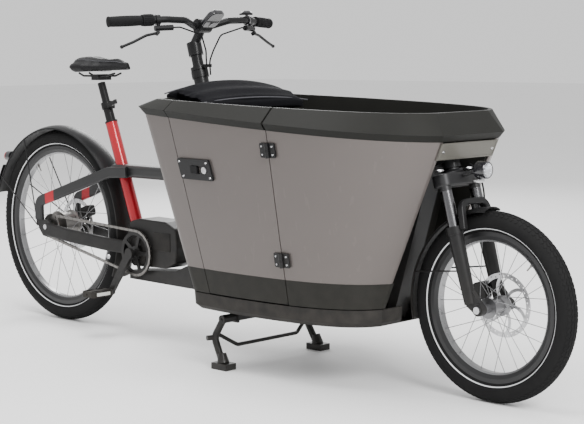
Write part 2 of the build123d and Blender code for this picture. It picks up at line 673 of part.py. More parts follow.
with BuildPart() as door_cut:
    door_wedge(0, BOX_BASE_Z - 40, 900)
with BuildPart() as door_keep:
    door_wedge(SEAM, BOX_BASE_Z + SEAM / 2, 900)
with BuildPart() as channel_cut:
    channel(0)
with BuildPart() as channel_wall:
    channel(LINER_T)

skin_outer = box_block(EDGE_Z, 0, BOX_BASE_Z, 0)
skin_inner = box_block(EDGE_Z, -PANEL_T, BOX_BASE_Z, -PANEL_T)
liner_outer = box_block(EDGE_Z, -PANEL_T - LINER_GAP, BOX_BASE_Z, -PANEL_T - LINER_GAP)
liner_inner = box_block((EDGE_Z[0] + 2, EDGE_Z[1] + 2), -PANEL_T - LINER_GAP - LINER_T,
                        BOX_BASE_Z + FLOOR_T, -PANEL_T - LINER_GAP - LINER_T)
band_plane = Plane.XY.offset(BAND_TOP_Z)

with BuildPart() as skin:
    add(skin_outer)
    add(skin_inner, mode=Mode.SUBTRACT)
    split(bisect_by=band_plane, keep=Keep.TOP)
    with Locations(at(BOX_FRONT_X, 0, 500)):
        Box(900, 2 * CHANNEL_HALF + 16, 900, mode=Mode.SUBTRACT)

with BuildPart() as panel_left:
    add(skin.part)
    with Locations(at(1300, 500, 500)):
        Box(2000, 1000 - SEAM, 1000, mode=Mode.INTERSECT)
save(panel_left, "side_panel_left")

with BuildPart() as panel_right:
    add(skin.part)
    with Locations(at(1300, -500, 500)):
        Box(2000, 1000 - SEAM, 1000, mode=Mode.INTERSECT)
with BuildPart() as panel_door:
    add(panel_right.part)
    add(door_keep.part, mode=Mode.INTERSECT)
save(panel_door, "door_panel")
with BuildPart() as panel_right_front:
    add(panel_right.part)
    with Locations(at(DOOR_FRONT_X + 500, -500, 500)):
        Box(1000, 1000, 1000, mode=Mode.INTERSECT)
save(panel_right_front, "side_panel_right_front")
with BuildPart() as panel_right_rear:
    add(panel_right.part)
    add(door_cut.part, mode=Mode.SUBTRACT)
    with Locations(at(DOOR_FRONT_X - 500, -500, 500)):
        Box(1000, 1000, 1000, mode=Mode.INTERSECT)
save(panel_right_rear, "side_panel_right_rear")

with BuildPart() as band:
    add(skin_outer)
    split(bisect_by=Plane.XY.offset(BAND_TOP_Z - SEAT_GAP), keep=Keep.BOTTOM)
with BuildPart() as hollow:
    add(liner_inner)
    add(channel_wall.part, mode=Mode.SUBTRACT)
with BuildPart() as liner:
    add(liner_outer)
    add(band.part)
    add(channel_cut.part, mode=Mode.SUBTRACT)
    add(hollow.part, mode=Mode.SUBTRACT)

# the floor stays with the tub where the door's region reaches over it
with BuildPart() as door_floor:
    add(loft([base_outline(0, -FLOOR_INSET), base_outline(FLOOR_T, -FLOOR_INSET)],
             ruled=True, mode=Mode.PRIVATE))
    add(door_cut.part, mode=Mode.INTERSECT)
with BuildPart() as door_floor_room:
    add(loft([base_outline(-5, SEAM - FLOOR_INSET), base_outline(FLOOR_T + 5, SEAM - FLOOR_INSET)],
             ruled=True, mode=Mode.PRIVATE))

rim_low = outline(BOX_TOP, sloped((EDGE_Z[0] + SEAT_GAP, EDGE_Z[1] + SEAT_GAP)), 1)
rim_wide = outline(BOX_TOP, sloped(FLARE_Z), RIM_FLARE)
rim_lip = outline(BOX_TOP, sloped(LIP_Z), -RIM_LIP_OUT)
rim_hole_low = outline(BOX_TOP, sloped((EDGE_Z[0] - 60, EDGE_Z[1] - 60)), -RIM_DEPTH_IN)
rim_hole_top = outline(BOX_TOP, sloped((LIP_Z[0] + 10, LIP_Z[1] + 10)), -RIM_DEPTH_IN)
with BuildPart() as rim_ring:
    add(loft([rim_low, rim_wide], ruled=True, mode=Mode.PRIVATE))
    add(loft([rim_wide, rim_lip], ruled=True, mode=Mode.PRIVATE))
    add(loft([rim_hole_low, rim_hole_top], ruled=True, mode=Mode.PRIVATE), mode=Mode.SUBTRACT)

with BuildPart() as box_rim:
    add(rim_ring.part)
    add(door_cut.part, mode=Mode.SUBTRACT)
save(box_rim, "box_rim")
with BuildPart() as tub:
    add(liner.part)
    add(door_cut.part, mode=Mode.SUBTRACT)
    add(door_floor.part)
save(tub, "cargo_tub")
with BuildPart() as door_rim:
    add(rim_ring.part)
    add(door_keep.part, mode=Mode.INTERSECT)
    # a wider seam at the hinged end, so that the flare clears the fixed rim as it swings
    split(bisect_by=Plane(origin=at(DOOR_FRONT_X - RIM_SEAM, 0, 0), z_dir=(1, 0, 0)), keep=Keep.BOTTOM)
with BuildPart() as door_liner:
    add(liner.part)
    add(door_keep.part, mode=Mode.INTERSECT)
    add(door_floor_room.part, mode=Mode.SUBTRACT)
    add(door_rim.part)
save(door_liner, "door_liner_and_rim")

# ---- floor beam and undercover -----------------------------------------------------
BEAM_HALF = 34
BEAM_REAR_X = 402
COVER_T = 4
STAND_PIVOT_X = 1045
STAND_PIVOT_Z = 152
STAND_LEG_Y = 200
STAND_TUBE_R = 13
BRACKET_HALF = 150

with BuildPart() as floor_beam:
    beam_front_x = channel_x(MAST_FOOT_Z)
    side_plate([(BEAM_REAR_X, 193), (700, FLOOR_BEAM_Z[0] + 3), (beam_front_x, FLOOR_BEAM_Z[0] + 3),
                (beam_front_x, FLOOR_BEAM_Z[1]), (820, FLOOR_BEAM_Z[1]), (690, 262),
                (640, 240), (BEAM_REAR_X, 222)], -BEAM_HALF, BEAM_HALF)
    for x in (1010, 1480):
        with Locations(at(x, 0, (FLOOR_BEAM_Z[0] + 5 + FLOOR_BEAM_Z[1]) / 2)):
            Box(40, 400 if x < 1200 else 340, FLOOR_BEAM_Z[1] - FLOOR_BEAM_Z[0] - 5)
    for side in (-1, 1):
        side_plate([(STAND_PIVOT_X - 30, FLOOR_BEAM_Z[0] + 10), (STAND_PIVOT_X - 14, STAND_PIVOT_Z - 16),
                    (STAND_PIVOT_X + 14, STAND_PIVOT_Z - 16), (STAND_PIVOT_X + 30, 215),
                    (STAND_PIVOT_X - 30, 215)], side * BRACKET_HALF - 4, side * BRACKET_HALF + 4)
    rod(at(STAND_PIVOT_X, -200, STAND_PIVOT_Z), at(STAND_PIVOT_X, 200, STAND_PIVOT_Z),
        STAND_TUBE_R + RUN_FIT, mode=Mode.SUBTRACT)
save(floor_beam, "floor_beam")

cover_drop = FLOOR_BEAM_Z[0] - BOX_BASE_Z
with BuildPart() as undercover:
    cover_low = base_outline(cover_drop, -14)
    cover_mid = base_outline(cover_drop + 12, -3)
    cover_top = base_outline(-SEAM, -1)
    inner_low = base_outline(cover_drop + COVER_T - 2, -18)
    inner_top = base_outline(2, -6)
    add(loft([cover_low, cover_mid], ruled=True, mode=Mode.PRIVATE))
    add(loft([cover_mid, cover_top], ruled=True, mode=Mode.PRIVATE))
    add(loft([inner_low, inner_top], ruled=True, mode=Mode.PRIVATE), mode=Mode.SUBTRACT)
    # the beam, the mast and the stand's brackets pass through the tray
    with Locations(at(BOX_BASE[0][0], 0, 215)):
        Box(160, 2 * BEAM_HALF + 2 * SEAM, 70, mode=Mode.SUBTRACT)
    with Locations(at(BOX_BASE[-1][0], 0, 215)):
        Box(120, 2 * MAST_HALF + 2 * SEAM, 50, mode=Mode.SUBTRACT)
    for side in (-1, 1):
        with Locations(at(STAND_PIVOT_X, side * BRACKET_HALF, 190)):
            Box(64, 14, 30, mode=Mode.SUBTRACT)
save(undercover, "undercover")

# ---- steering column and its fixed sleeve ---------------------------------------------
COLUMN_AT = (742, 860)
COLUMN_R = 18
SLEEVE_R = 24
SLEEVE_TOP_Z = 900
SLEEVE_BASE_Z = 262
COLUMN_TOP_Z = 988
COLUMN_BASE_Z = 232


def on_column(z):
    """The point on the column's axis at a height."""
    return at(COLUMN_AT[0] - (z - COLUMN_AT[1]) / math.tan(LEAN), 0, z)


with BuildPart() as sleeve:
    rod(on_column(SLEEVE_BASE_Z), on_column(SLEEVE_TOP_Z), SLEEVE_R)
    rod(on_column(SLEEVE_TOP_Z - 22), on_column(SLEEVE_TOP_Z), SLEEVE_R + 4)
    side_plate([(842, 242), (905, 242), (905, 330), (875, 330)], -26, 26)
    rod(on_column(COLUMN_BASE_Z - 40), on_column(SLEEVE_TOP_Z + 10), COLUMN_R + RUN_FIT,
        mode=Mode.SUBTRACT)
save(sleeve, "column_sleeve")

with BuildPart() as column:
    rod(on_column(COLUMN_BASE_Z + 20), on_column(COLUMN_TOP_Z), COLUMN_R)
    turned([(0, 0), (0, SLEEVE_R + 3), (12, SLEEVE_R + 3), (12, 0)],
           on_column(SLEEVE_TOP_Z + SEAM / 2), DOWN * -1, Y_AXIS)
save(column, "steering_column")

# ---- frame behind the box --------------------------------------------------------------
SEAT_TUBE_TOP = (276, 719)
SEAT_TUBE_BASE = (400, 392)
SEAT_TUBE_R = 21
SLEEVE_POST_R = 16.5
POST_R = 13.6
TOP_TUBE_Z = 558
TOP_TUBE_REAR_X = 306
STAY_T = 16
STAY_H = 38
STAY_END_Z = 368
BB = (463, 288)
MOTOR_HALF = 46

seat_run = (Vector(SEAT_TUBE_TOP[0] - SEAT_TUBE_BASE[0], 0, SEAT_TUBE_TOP[1] - SEAT_TUBE_BASE[1])
            .normalized())
SEAT_TOP = at(SEAT_TUBE_TOP[0], 0, SEAT_TUBE_TOP[1])
SEAT_BASE = at(SEAT_TUBE_BASE[0], 0, SEAT_TUBE_BASE[1])


def on_seat(up):
    """A point on the seat tube's axis, above its upper end."""
    return SEAT_TOP + seat_run * up


SLEEVE_POST_TOP = 74
with BuildPart() as seat_tube:
    rod(SEAT_BASE - seat_run * 20, SEAT_TOP, SEAT_TUBE_R)
    rod(SEAT_BASE + seat_run * 60, on_seat(5), SLEEVE_POST_R + RUN_FIT, mode=Mode.SUBTRACT)
save(seat_tube, "seat_tube")

with BuildPart() as post_sleeve:
    rod(on_seat(-200), on_seat(SLEEVE_POST_TOP), SLEEVE_POST_R)
    rod(on_seat(SLEEVE_POST_TOP - 22), on_seat(SLEEVE_POST_TOP), SLEEVE_POST_R + 3.5)
    rod(on_seat(0.5), on_seat(6), SEAT_TUBE_R + 1)
    rod(on_seat(-201), on_seat(SLEEVE_POST_TOP + 5), POST_R + RUN_FIT, mode=Mode.SUBTRACT)
    lug = on_seat(SLEEVE_POST_TOP - 11) + Vector(SLEEVE_POST_R + 7, 0, 0)
    with Locations(lug):
        Box(16, 18, 18)
    rod(on_seat(-201), on_seat(SLEEVE_POST_TOP + 5), POST_R + RUN_FIT, mode=Mode.SUBTRACT)
save(post_sleeve, "seat_post_sleeve")

with BuildPart() as upper_frame:
    front_end = on_column(TOP_TUBE_Z).X - REAR_X
    with BuildSketch(Plane(origin=at(front_end, 0, TOP_TUBE_Z), x_dir=Y_AXIS,
                           z_dir=(-1, 0, 0))) as tube_section:
        RectangleRounded(62, 42, 14)
    extrude(tube_section.sketch, amount=front_end - TOP_TUBE_REAR_X)
    for side in (-1, 1):
        swept_bar([
            at(400, side * 38, TOP_TUBE_Z - 2),
            at(315, side * 48, TOP_TUBE_Z - 6),
            at(200, side * 64, TOP_TUBE_Z - 46),
            at(60, side * 80, 463),
            at(-37, side * 84, 432),
            at(-37, side * 84, STAY_END_Z),
        ], [60, 60, 60, 26], STAY_T, STAY_H, 6)
    rod(on_seat(-400), on_seat(20), SEAT_TUBE_R + RUN_FIT, mode=Mode.SUBTRACT)
    rod(on_column(SLEEVE_BASE_Z), on_column(SLEEVE_TOP_Z), SLEEVE_R + RUN_FIT, mode=Mode.SUBTRACT)
save(upper_frame, "top_tube_and_seat_stays")

DROPOUT_T = 12
with BuildPart() as chain_stays:
    for side in (-1, 1):
        low = side * (REAR_DROPOUT_Y + SEAT_GAP)
        high = side * (REAR_DROPOUT_Y + DROPOUT_T)
        side_plate([(-56, STAY_END_Z - SEAT_GAP), (10, STAY_END_Z - SEAT_GAP), (28, 352), (34, 318),
                    (10, 306), (-20, 310), (-42, 334)],
                   min(low, high), max(low, high))
        swept_bar([at(10, side * (REAR_DROPOUT_Y + 9), 334), at(120, side * 78, 322),
                   at(300, side * 58, 306), at(392, side * 42, 300)],
                  [120, 120], STAY_T, 46, 6)
    with Locations(at(388, 0, 300)):
        Box(22, 84, 46)
    rod(REAR_AXLE - Vector(0, 120, 0), REAR_AXLE + Vector(0, 120, 0), THRU_AXLE_R + RUN_FIT,
        mode=Mode.SUBTRACT)
save(chain_stays, "chain_stays_and_dropouts")

with BuildPart() as rear_axle:
    rear_out = REAR_DROPOUT_Y + DROPOUT_T
    turned([(-rear_out - AXLE_HEAD_T, 0), (-rear_out - AXLE_HEAD_T, 9), (-rear_out, 9),
            (-rear_out, THRU_AXLE_R), (rear_out, THRU_AXLE_R), (rear_out, 9),
            (rear_out + AXLE_HEAD_T, 9), (rear_out + AXLE_HEAD_T, 0)], REAR_AXLE, Y_AXIS, UP)
save(rear_axle, "rear_axle")
make_caliper("rear_brake_caliper", REAR_AXLE, on_wheel(REAR_AXLE, 80, 38, 0), REAR_ROTOR_Y,
             Vector(0.95, 0, 0.3), REAR_DROPOUT_Y + 8, at(30, REAR_DROPOUT_Y + 8, 359))

with BuildPart() as motor:
    body = Plane(origin=at(0, -MOTOR_HALF, 0), x_dir=(1, 0, 0), z_dir=(0, -1, 0))
    with BuildSketch(body):
        with BuildLine():
            Polyline((402, 282), (402, 330), (420, 392), (470, 404), (600, 402), (654, 380),
                     (660, 320), (650, 268), (600, 246), (430, 240), close=True)
        make_face()
        fillet(vertices(), 16)
    extrude(amount=-2 * MOTOR_HALF)
    fillet(motor.edges().group_by(Axis.Y)[0], 6)
    fillet(motor.edges().group_by(Axis.Y)[-1], 6)
    rod(at(BB[0], -200, BB[1]), at(BB[0], 200, BB[1]), 12 + RUN_FIT, mode=Mode.SUBTRACT)
    rod(SEAT_BASE - seat_run * 30, SEAT_TOP, SEAT_TUBE_R + RUN_FIT, mode=Mode.SUBTRACT)
save(motor, "motor_unit")

# ---- drivetrain -------------------------------------------------------------------------
CRANK_ANGLE = 234
ARM_IN = 78
ARM_T = 13
CRANK_AXLE_R = 12
CHAINRING_T = 5
CHAIN_T = 8
PEDAL_AXLE_R = 5
PEDAL_LENGTH = 90
PEDAL_DEPTH = 62
PEDAL_H = 20
BB_CENTRE = at(BB[0], 0, BB[1])


def crank_end(side):
    """The pedal end of a crank arm: -1 on the right, 1 on the left."""
    turn = math.radians(CRANK_ANGLE + (0 if side < 0 else 180))
    return BB_CENTRE + Vector(CRANK_LENGTH * math.cos(turn), 0, CRANK_LENGTH * math.sin(turn))


with BuildPart() as crankset:
    rod(BB_CENTRE - Vector(0, ARM_IN + 1, 0), BB_CENTRE + Vector(0, ARM_IN + 1, 0), CRANK_AXLE_R)
    ring_plane = Plane(origin=BB_CENTRE - Vector(0, CHAINLINE - CHAINRING_T / 2, 0),
                       x_dir=(1, 0, 0), z_dir=(0, -1, 0))
    with BuildSketch(ring_plane) as ring:
        Circle(CHAINRING_R)
        Circle(CHAINRING_R - 13, mode=Mode.SUBTRACT)
        Circle(24)
        for number in range(5):
            with Locations(Rotation(0, 0, 72 * number) * Pos((CHAINRING_R + 5) / 2, 0, 0)):
                Rectangle(CHAINRING_R - 20, 13)
    extrude(ring.sketch, amount=CHAINRING_T)
    for side in (-1, 1):
        inner = Vector(0, side * ARM_IN, 0)
        outer = Vector(0, side * (ARM_IN + ARM_T), 0)
        rod(BB_CENTRE + inner, BB_CENTRE + outer, 19)
        end = crank_end(side)
        rod(end + inner, end + outer, 13)
        along = (end - BB_CENTRE).normalized()
        arm_plane = Plane(origin=BB_CENTRE + inner, x_dir=along, z_dir=(0, side, 0))
        with BuildSketch(arm_plane) as arm:
            with BuildLine():
                Polyline((0, -16), (0, 16), (CRANK_LENGTH, 10), (CRANK_LENGTH, -10), close=True)
            make_face()
        extrude(arm.sketch, amount=ARM_T)
        rod(end + outer - Vector(0, side, 0),
            end + Vector(0, side * (ARM_IN + ARM_T + PEDAL_LENGTH + 6), 0), PEDAL_AXLE_R)
save(crankset, "crankset")

for side, name in ((-1, "pedal_right"), (1, "pedal_left")):
    middle = crank_end(side) + Vector(0, side * (ARM_IN + ARM_T + 8 + PEDAL_LENGTH / 2), 0)
    with BuildPart() as pedal:
        with BuildSketch(Plane.XY.offset(middle.Z - PEDAL_H / 2).shift_origin(
                Vector(middle.X, middle.Y, middle.Z - PEDAL_H / 2))):
            RectangleRounded(PEDAL_DEPTH, PEDAL_LENGTH, 10)
            for y in (-24, 24):
                for x in (-18, 18):
                    with Locations((x, y)):
                        RectangleRounded(14, 30, 4, mode=Mode.SUBTRACT)
        extrude(amount=PEDAL_H)
        chamfer(pedal.edges().group_by(Axis.Z)[-1], 1.5)
        rod(middle - Vector(0, PEDAL_LENGTH, 0), middle + Vector(0, PEDAL_LENGTH, 0),
            PEDAL_AXLE_R + RUN_FIT, mode=Mode.SUBTRACT)
    save(pedal, name)

with BuildPart() as chain:
    chain_plane = Plane(origin=at(0, -CHAINLINE + CHAIN_T / 2, 0), x_dir=(1, 0, 0),
                        z_dir=(0, -1, 0))
    with BuildSketch(chain_plane) as chain_loop:
        with Locations((0, REAR_TYRE_R)):
            Circle(SPROCKET_R + 5)
        with Locations(BB):
            Circle(CHAINRING_R + 5)
        make_hull()
    with BuildSketch(chain_plane) as chain_inside:
        with Locations((0, REAR_TYRE_R)):
            Circle(SPROCKET_R + SEAT_GAP)
        with Locations(BB):
            Circle(CHAINRING_R + SEAT_GAP)
        make_hull()
    extrude(chain_loop.sketch, amount=CHAIN_T)
    extrude(chain_inside.sketch, amount=CHAIN_T, mode=Mode.SUBTRACT)
save(chain, "drive_chain")

# ---- saddle and seat post ------------------------------------------------------------------
POST_TOP = 146
RAIL_Z = 880
RAIL_Y = 22
RAIL_R = 3.5
SADDLE_LOW_Z = 893
RAIL_END_Z = SADDLE_LOW_Z - RAIL_R
SADDLE_H = 54
SADDLE_REAR_X = 100
with BuildPart() as seat_post:
    rod(on_seat(-110), on_seat(POST_TOP), POST_R)
    head = on_seat(POST_TOP)
    with Locations(Vector(head.X, 0, RAIL_Z - 4)):
        Box(38, 2 * RAIL_Y + 14, 20)
    for side in (-1, 1):
        low_y = side * RAIL_Y
        swept_rod([at(SADDLE_REAR_X + 30, low_y, RAIL_END_Z),
                   at(SADDLE_REAR_X + 55, low_y, RAIL_Z),
                   at(SADDLE_REAR_X + 175, low_y, RAIL_Z),
                   at(SADDLE_REAR_X + 215, low_y * 0.6, RAIL_END_Z)],
                  [12, 20], RAIL_R)
save(seat_post, "seat_post_and_rails")

with BuildPart() as saddle:
    tail = SADDLE_REAR_X
    nose = SADDLE_REAR_X + SADDLE_LENGTH
    middle = SADDLE_REAR_X + SADDLE_LENGTH / 2
    half = [(tail, 44), (tail + 14, 76), (tail + 60, 86), (tail + 105, 66), (tail + 150, 35),
            (nose - 40, 20), (nose, 15)]
    for z, share in ((SADDLE_LOW_Z, 1), (SADDLE_LOW_Z + SADDLE_H * 0.6, 1),
                     (SADDLE_LOW_Z + SADDLE_H, 0.86)):
        around = [(x, y) for x, y in half] + [(x, -y) for x, y in half[::-1]]
        with BuildSketch(Plane(origin=at(middle, 0, z), x_dir=(1, 0, 0), z_dir=UP)):
            with BuildLine():
                Polyline(*[((x - middle) * (0.06 + 0.94 * share), y * share) for x, y in around],
                         close=True)
            make_face()
    loft(ruled=True)
save(saddle, "saddle")

QR_PIVOT = on_seat(SLEEVE_POST_TOP - 11) + Vector(SLEEVE_POST_R + 9, -14, 0)
with BuildPart() as qr_lever:
    rod(QR_PIVOT - seat_run * 8, QR_PIVOT + seat_run * 8, 4.5)
    lever_plane = Plane(origin=QR_PIVOT - seat_run * 7, x_dir=Vector(seat_run.Z, 0, -seat_run.X),
                        z_dir=seat_run)
    with BuildSketch(lever_plane):
        with Locations((24, -3)):
            SlotOverall(52, 9)
    extrude(amount=14)
save(qr_lever, "quick_release_lever")

# ---- handlebar and what it carries ------------------------------------------------------------
BAR_R = 11.1
BAR_CLAMP_R = 15.9
BAR_CENTRE = at(748, 0, 1045)
BAR_END = (700, 1056)
BAR_BEND = (767, 168, 1064)
GRIP_R = 16
GRIP_LENGTH = 106
SHIFTER_LENGTH = 36
CLAMP_AT = 158


def bar_end(side):
    """The handlebar's outer end: -1 on the right, 1 on the left."""
    return at(BAR_END[0], side * HANDLEBAR_HALF, BAR_END[1])


def on_bar(along, side):
    """A point on a grip's axis, from its distance in from the bar's end."""
    end = bar_end(side)
    run = (at(BAR_BEND[0], side * BAR_BEND[1], BAR_BEND[2]) - end).normalized()
    return end + run * along


def reach(side):
    """The direction from a grip towards its brake lever."""
    run = (on_bar(1, side) - on_bar(0, side)).normalized()
    toward = Vector(0.39, 0, -0.92)
    return (toward - run * toward.dot(run)).normalized()


with BuildPart() as stem:
    rod(on_column(950), on_column(COLUMN_TOP_Z + 4), COLUMN_R + 6)
    rod(on_column(COLUMN_TOP_Z - 4), BAR_CENTRE, 15)
    rod(BAR_CENTRE - Vector(0, 24, 0), BAR_CENTRE + Vector(0, 24, 0), 23)
    rod(on_column(940), on_column(COLUMN_TOP_Z), COLUMN_R + RUN_FIT, mode=Mode.SUBTRACT)
    rod(BAR_CENTRE - Vector(0, 60, 0), BAR_CENTRE + Vector(0, 60, 0), BAR_CLAMP_R + RUN_FIT,
        mode=Mode.SUBTRACT)
save(stem, "stem")

with BuildPart() as handlebar:
    bar_points = [bar_end(-1), at(BAR_BEND[0], -BAR_BEND[1], BAR_BEND[2]), at(770, -95, 1062),
                  at(748, -38, 1045), at(748, 38, 1045), at(770, 95, 1062),
                  at(BAR_BEND[0], BAR_BEND[1], BAR_BEND[2]), bar_end(1)]
    swept_rod(bar_points, [50, 30, 24, 24, 30, 50], BAR_R)
    rod(BAR_CENTRE - Vector(0, 26, 0), BAR_CENTRE + Vector(0, 26, 0), BAR_CLAMP_R)
save(handlebar, "handlebar")

with BuildPart() as grips:
    for side in (-1, 1):
        rod(on_bar(-4, side), on_bar(GRIP_LENGTH, side), GRIP_R)
        rod(on_bar(0, side), on_bar(GRIP_LENGTH + 1, side), BAR_R + RUN_FIT, mode=Mode.SUBTRACT)
save(grips, "grips")

with BuildPart() as shifter:
    rod(on_bar(GRIP_LENGTH + 1, -1), on_bar(GRIP_LENGTH + 1 + SHIFTER_LENGTH, -1), GRIP_R + 2)
    rod(on_bar(GRIP_LENGTH, -1), on_bar(GRIP_LENGTH + 2 + SHIFTER_LENGTH, -1), BAR_R + RUN_FIT,
        mode=Mode.SUBTRACT)
save(shifter, "twist_shifter")

with BuildPart() as clamps:
    for side in (-1, 1):
        drop = reach(side)
        rod(on_bar(CLAMP_AT - 7, side), on_bar(CLAMP_AT + 7, side), BAR_R + 5)
        rod(on_bar(CLAMP_AT, side) + drop * (BAR_R + 2), on_bar(CLAMP_AT, side) + drop * 26, 5.5)
        rod(on_bar(CLAMP_AT - 14, side) + drop * 28, on_bar(CLAMP_AT + 46, side) + drop * 28, 9)
        rod(on_bar(CLAMP_AT - 9, side), on_bar(CLAMP_AT + 9, side), BAR_R + RUN_FIT,
            mode=Mode.SUBTRACT)
save(clamps, "brake_master_cylinders")

LEVER_PIVOT_AT = 150
LEVER_DROP = 44
for side, name in ((-1, "brake_lever_right"), (1, "brake_lever_left")):
    drop = reach(side)
    with BuildPart() as lever:
        hinge_side = (on_bar(1, side) - on_bar(0, side)).cross(drop).normalized()
        pivot = on_bar(LEVER_PIVOT_AT, side) + drop * LEVER_DROP
        rod(pivot - hinge_side * 7, pivot + hinge_side * 7, 6.5)
        swept_rod([pivot, on_bar(112, side) + drop * 50, on_bar(66, side) + drop * 70,
                   on_bar(26, side) + drop * 84], [60, 80], 4.5)
        with Locations(on_bar(26, side) + drop * 84):
            Sphere(6)
    save(lever, name)

with BuildPart() as display:
    face = Plane(origin=at(790, 0, 1072), x_dir=(0, 1, 0), z_dir=(-0.62, 0, 0.78))
    with BuildSketch(face):
        RectangleRounded(62, 78, 22)
    extrude(amount=-16)
    fillet(display.edges().group_by(SortBy.LENGTH)[-1], 4)
    rod(at(789, 0, 1058), at(772, 0, 1048), 9)
    with Locations(BAR_CENTRE):
        Cylinder(BAR_CLAMP_R + 12, 70, rotation=(90, 0, 0), mode=Mode.SUBTRACT)
save(display, "display")

BELL_AT = 171
BELL_R = 17
bell_base = on_bar(BELL_AT, 1)
with BuildPart() as bell:
    rod(on_bar(BELL_AT - 5, 1), on_bar(BELL_AT + 5, 1), BAR_R + 4)
    rod(on_bar(BELL_AT - 6, 1), on_bar(BELL_AT + 6, 1), BAR_R + RUN_FIT, mode=Mode.SUBTRACT)
    turned([(BAR_R + 3, 0), (BAR_R + 3, 5), (BAR_R + 7, 5), (BAR_R + 7, BELL_R),
            (BAR_R + 16, BELL_R),
            (BAR_R + 21, BELL_R - 7), (BAR_R + 21, 0)], bell_base, (0, 0, 1), (1, 0, 0))
save(bell, "bell")
with BuildPart() as bell_thumb:
    pad = bell_base + Vector(0, 0, BAR_R + 10)
    turned([(-3, BELL_R + SEAT_GAP), (-3, BELL_R + 3), (3, BELL_R + 3), (3, BELL_R + SEAT_GAP)],
           pad, (0, 0, 1), (1, 0, 0))
    rod(pad + Vector(-BELL_R - 2, 0, 0), pad + Vector(-BELL_R - 15, 0, 0), 3)
save(bell_thumb, "bell_thumb_lever")

HOSE_R = 2.5
HOSE_CLIP_Z = 918
with BuildPart() as hoses:
    clip = on_column(HOSE_CLIP_Z) + Vector(44, 0, 0)
    for side in (-1, 1):
        start = on_bar(CLAMP_AT + 46 + SEAT_GAP, side) + reach(side) * 28
        inward = (on_bar(1, side) - on_bar(0, side)).normalized()
        swept_rod([start, start + inward * 24,
                   at(788, side * 42, 1016), at(780, side * 16, 966),
                   clip + Vector(2, side * 7, 14), clip + Vector(6, side * 7, -30)],
                  [16, 24, 40, 60], HOSE_R)
    rod(on_column(HOSE_CLIP_Z) + Vector(COLUMN_R + 12, 0, 0), clip + Vector(-3, 0, 0), 4)
    with Locations(clip):
        Box(12, 26, 10)
save(hoses, "brake_hoses_and_clip")

# ---- inside the box ---------------------------------------------------------------------------
BENCH_TOP_Z = 478
BENCH_FRONT_X = 1160
BENCH_HALF = 236
BENCH_T = 10
BENCH_FOOT = 12
PAD_H = 38
BACK_LOW_Z = 530
HOOD_HALF = 268
HOOD_FRONT_X = 1000
HOOD_TOP_Z = 862


def inner_x(z):
    """The station of the tub's rear wall, inside, at a height."""
    share = (z - BOX_BASE_Z) / (EDGE_Z[0] - BOX_BASE_Z)
    rear = BOX_BASE[0][0] + share * (BOX_TOP[0][0] - BOX_BASE[0][0])
    return rear + PANEL_T + LINER_GAP + LINER_T + 2


floor_z = BOX_BASE_Z + FLOOR_T
with BuildPart() as bench:
    side_plate([(inner_x(BENCH_TOP_Z) + 1, BENCH_TOP_Z), (BENCH_FRONT_X, BENCH_TOP_Z),
                (BENCH_FRONT_X, floor_z + BENCH_FOOT), (BENCH_FRONT_X - BENCH_T, floor_z + BENCH_FOOT),
                (BENCH_FRONT_X - BENCH_T, BENCH_TOP_Z - BENCH_T),
                (inner_x(BENCH_TOP_Z - BENCH_T) + 1, BENCH_TOP_Z - BENCH_T)],
               -BENCH_HALF, BENCH_HALF)
    # its cushion, a separate piece lying on it
    pad_low = BENCH_TOP_Z + SEAT_GAP
    side_plate([(inner_x(pad_low) + 12, pad_low), (BENCH_FRONT_X - 6, pad_low),
                (BENCH_FRONT_X - 6, pad_low + PAD_H), (inner_x(pad_low) + 12, pad_low + PAD_H)],
               -BENCH_HALF + 8, BENCH_HALF - 8)
    fillet(bench.edges().group_by(Axis.Z)[-1], 12)
save(bench, "bench_and_cushion")

with BuildPart() as rear_cover:
    side_plate([(806, 828), (812, 852), (850, 866), (920, 852), (980, 828), (HOOD_FRONT_X, 806),
                (HOOD_FRONT_X, 792), (985, 782), (955, 790), (900, 804), (866, 806), (860, 828)],
               -HOOD_HALF, HOOD_HALF)
    with BuildSketch(Plane(origin=at(780, 0, 0), x_dir=Y_AXIS, z_dir=(1, 0, 0))) as crown_shape:
        with BuildLine():
            Line((-HOOD_HALF, 832), (-HOOD_HALF, 700))
            Line((-HOOD_HALF, 700), (HOOD_HALF, 700))
            Line((HOOD_HALF, 700), (HOOD_HALF, 832))
            ThreePointArc((HOOD_HALF, 832), (0, HOOD_TOP_Z), (-HOOD_HALF, 832))
        make_face()
    extrude(crown_shape.sketch, amount=300, mode=Mode.INTERSECT)
    side_plate([(870, 812), (inner_x(BACK_LOW_Z) + 8, BACK_LOW_Z),
                (inner_x(BACK_LOW_Z) + 48, BACK_LOW_Z), (908, 790), (908, 812)], -240, 240)
save(rear_cover, "padded_rear_cover")

# ---- door hardware and front plate ----------------------------------------------------------------
HINGE_Z = (690, 374)
HINGE_PIN_R = 3.5
KNUCKLE_R = 6.5
LEAF_H = 42
LEAF_W = 26
LEAF_T = 4
LATCH_AT = (1064, 619)
LATCH_SIZE = (146, 62)
LATCH_T = 6
LATCH_SLANT = 6
PULL_SIZE = (30, 22)
PULL_TRAVEL = 12


def plan_half(plan, x):
    """The half-width of a plan outline at a station, taken straight between its points."""
    for (x0, half0), (x1, half1) in zip(plan, plan[1:]):
        if x <= x1:
            return half0 + (half1 - half0) * (x - x0) / (x1 - x0)
    return plan[-1][1]


def skin_half(x, z):
    """The box's half-width at a station and a height."""
    share = (x - BOX_REAR_X) / (BOX_FRONT_X - BOX_REAR_X)
    edge = EDGE_Z[0] + share * (EDGE_Z[1] - EDGE_Z[0])
    rise = (z - BOX_BASE_Z) / (edge - BOX_BASE_Z)
    low = plan_half(BOX_BASE, x)
    return low + rise * (plan_half(BOX_TOP, x) - low)


